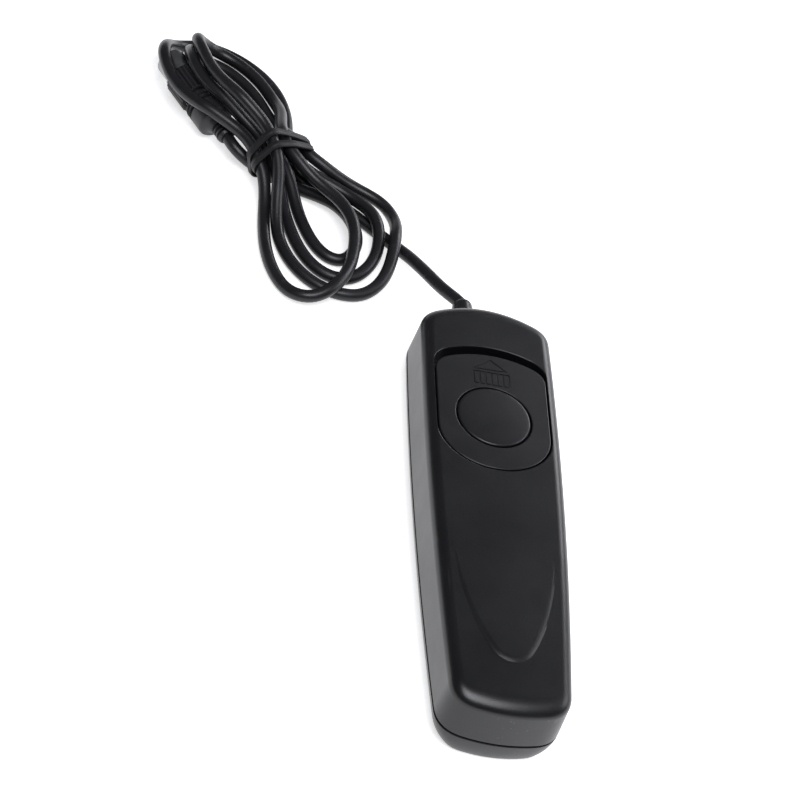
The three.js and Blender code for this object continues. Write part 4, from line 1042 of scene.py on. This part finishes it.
def tie_band(core):
    """A flat plastic band with a wire in its middle, wound nearly twice round the waist."""
    along, across = Vector(ALONG_HANK), Vector(ACROSS_HANK)
    rows = np.linspace(-3.2, 3.2, 9)
    loops = np.stack([loop_round_waist(core, row) for row in rows])
    last_row, last_column = len(rows) - 1, loops.shape[1] - 1
    turns, places = zip(*TIE_PLACES)
    steps = 280
    at = np.linspace(turns[0], turns[-1], steps + 1)
    places = smoothed(np.interp(at, turns, places), 30)
    route = []
    for turn, place in zip(at, places):
        row, column = (place - rows[0]) / (rows[1] - rows[0]), (turn % 1) * last_column
        i, j = min(int(row), last_row - 1), min(int(column), last_column - 1)
        down, onward = row - i, column - j
        first = loops[i, j] * (1 - onward) + loops[i, j + 1] * onward
        second = loops[i + 1, j] * (1 - onward) + loops[i + 1, j + 1] * onward
        route.append(first * (1 - down) + second * down)
    route = smoothed(np.array(route), 6)
    route[:, 1] = np.maximum(route[:, 1], TIE_GAP)
    line = [Vector((*WAIST, z)) + along * p + across * x for (x, z), p in zip(route, places)]
    # Half the band's section: a share of its half width, and a thickness, with the wire's ridge
    section = [(1, 0.12), (0.96, 0.18), (0.42, 0.2), (0.22, 0.3), (0, 0.35), (-0.22, 0.3), (-0.42, 0.2)]
    section += [(-0.96, 0.18), (-1, 0.12)]
    section += [(w, -t) for w, t in reversed(section)]
    rings = []
    for i, spot in enumerate(line):
        onward = (line[min(i + 2, steps)] - line[max(i - 2, 0)]).normalized()
        outward = onward.cross(along).normalized()
        level = outward.cross(onward).normalized()
        rings.append([tuple(spot + level * (w * TIE_HALF_WIDTH) + outward * t) for w, t in section])
    return dressed(loft("tie_band", rings), "tie", "tie_wire", "casing", crease=50, weigh=False)


tie = tie_band(np.array([tuple(p) for p in CABLE]))

# ---------------------------------------------------------------- plug

PLUG_MATRIX = Matrix.Translation(PLUG_AT * MM) @ Matrix.Rotation(PLUG_TURN, 4, "Z")


def on_plug(obj, look, node, body):
    """Finishes a piece of the plug, made along +Y from the origin, where the plug lies."""
    obj.data.transform(PLUG_MATRIX)
    return dressed(obj, look, node, body)


def plug_boot():
    """A ribbed relief, the round body with two grip grooves, and the stub that the ring slides on."""
    body, groove, back = 4.2, 0.5, -RELIEF_LENGTH
    profile = [(0, back), (1.7, back), (1.88, back + 0.15)]
    for start in (-4.3, -3.2, -2.1):
        profile += [(1.95 - 0.12 * start / 4, start), (1.5, start + 0.15), (1.5, start + 0.45)]
        profile.append((2.0 - 0.1 * start / 4, start + 0.6))
    profile += [(2.6, -0.5), (2.9, -0.2), (3.5, 0.0), (3.95, 0.2), (4.15, 0.5), (body, 0.8), (body, 4.15)]
    for start in (4.3, 5.6):
        profile += [(body - groove, start), (body - groove, start + 0.5), (body, start + 0.62)]
    profile += [(body - 0.08, 6.45), (body - 0.25, 6.6), (2.9, 6.6), (2.9, 8.6), (2.4, 8.6)]
    profile += [(2.4, 11.4), (0, 11.4)]
    return on_plug(turned("plug_boot_body", profile, 64, along="Y"), "plug", "plug_boot", "casing")


def plug_ring():
    """The lock sleeve, with fine ribs along its outside."""
    outer, inner, start, length = 4.3, 3.3, 8.4, 7.0
    ribs, rib_height, steps_per_rib = 24, 0.26, 6
    count = ribs * steps_per_rib
    turns = [2 * math.pi * i / count for i in range(count)]
    heights = [(0, 0.25), (0.2, 0.0), (length - 0.2, 0.0), (length, 0.25)]
    rings = []
    for height, shy in heights:
        ring = []
        for a in turns:
            radius = outer - shy - rib_height * (0.5 - 0.5 * math.cos(ribs * a)) ** 3
            ring.append((radius * math.cos(a), start + height, -radius * math.sin(a)))
        rings.append(ring)
    for height in (length, 0):
        rings.append([(inner * math.cos(a), start + height, -inner * math.sin(a)) for a in turns])
    points = [p for ring in rings for p in ring]
    faces = []
    for r in range(len(rings)):
        here, there = r * count, (r + 1) % len(rings) * count
        for i in range(count):
            j = (i + 1) % count
            faces.append((here + i, here + j, there + j, there + i))
    ring = object_of("plug_ring_sleeve", mesh_of("plug_ring_sleeve", points, faces))
    return on_plug(ring, "plug", "plug_ring", "ring")


def plug_barrel():
    """The steel shell round the contacts, with the collar that the ring butts on."""
    profile = [(2.7, 8.9), (3.0, 8.9), (3.0, 15.7), (3.8, 15.7), (3.8, 16.3), (3.65, 16.5), (3.4, 16.7)]
    profile += [(3.4, 21.2), (3.32, 21.4), (3.1, 21.5), (2.8, 21.5), (2.7, 21.4), (2.7, 8.9)]
    return on_plug(turned("plug_barrel_shell", profile, 64, along="Y"), "steel", "plug_barrel", "casing")


boot, ring_piece, barrel = plug_boot(), plug_ring(), plug_barrel()

# ---------------------------------------------------------------- floor and light

FLOOR_HALF, FLOOR_DROP = 3000, 0.02  # the paper lies a hair under the table's plane
FLOOR_GLOW = 0.6
SKY_COLOUR, SKY_STRENGTH = (0.97, 0.98, 1.0, 1.0), 0.15
LAMP_TINT = (0.95, 0.955, 1.0)
# Place and the two sides in metres, and watts
LAMPS = {
    "overhead": ((-0.06, -0.3, 0.8), (0.5, 0.5), 5.6),
    "side": ((0.66, 0.1, 0.4), (0.5, 0.4), 2.0),
    "back": ((0.29, 0.36, 0.19), (0.22, 0.16), 0.72),
}


def make_floor():
    """Pale paper, a little brighter to the camera and in reflections than the lamps make it."""
    half = FLOOR_HALF * MM
    corners = [(-half, -half), (half, -half), (half, half), (-half, half)]
    mesh = bpy.data.meshes.new("floor")
    mesh.from_pydata([(x, y, -FLOOR_DROP * MM) for x, y in corners], [], [(0, 1, 2, 3)])
    m = Nodes("floor_paper")
    m.set(Base_Color=(0.93, 0.93, 0.935, 1.0), Roughness=0.7, Specular_IOR_Level=0.1)
    path = m.add("ShaderNodeLightPath")
    seen = m.calculated(path.outputs["Is Camera Ray"], path.outputs["Is Glossy Ray"], "MAXIMUM")
    seen = m.calculated(seen, path.outputs["Is Transmission Ray"], "MAXIMUM")
    glow = m.add("ShaderNodeEmission", Color=(1, 1, 1, 1), Strength=m.times(seen, FLOOR_GLOW))
    both = m.add("ShaderNodeAddShader")
    m.put(both.inputs[0], m.shader.outputs[0])
    m.put(both.inputs[1], glow.outputs[0])
    m.put(m.tree.nodes["Material Output"].inputs["Surface"], both.outputs[0])
    mesh.materials.append(m.material)
    object_of("floor", mesh)


def lamp(name, at, size, power):
    """A soft lamp that faces the frame's origin."""
    data = bpy.data.lights.new(name, "AREA")
    data.shape = "RECTANGLE"
    data.size, data.size_y = size
    data.energy = power
    data.color = LAMP_TINT
    obj = object_of(name, data)
    obj.location = at
    obj.rotation_euler = (-Vector(at)).to_track_quat("-Z", "Y").to_euler()


def make_light():
    """A dim even sky and the lamps."""
    world = bpy.data.worlds.new("studio")
    world.use_nodes = True
    sky = world.node_tree.nodes["Background"]
    sky.inputs["Color"].default_value = SKY_COLOUR
    sky.inputs["Strength"].default_value = SKY_STRENGTH
    bpy.context.scene.world = world
    for name, (at, size, power) in LAMPS.items():
        lamp(name, at, size, power)


make_floor()
make_light()
bpy.context.scene.view_settings.view_transform = "Standard"
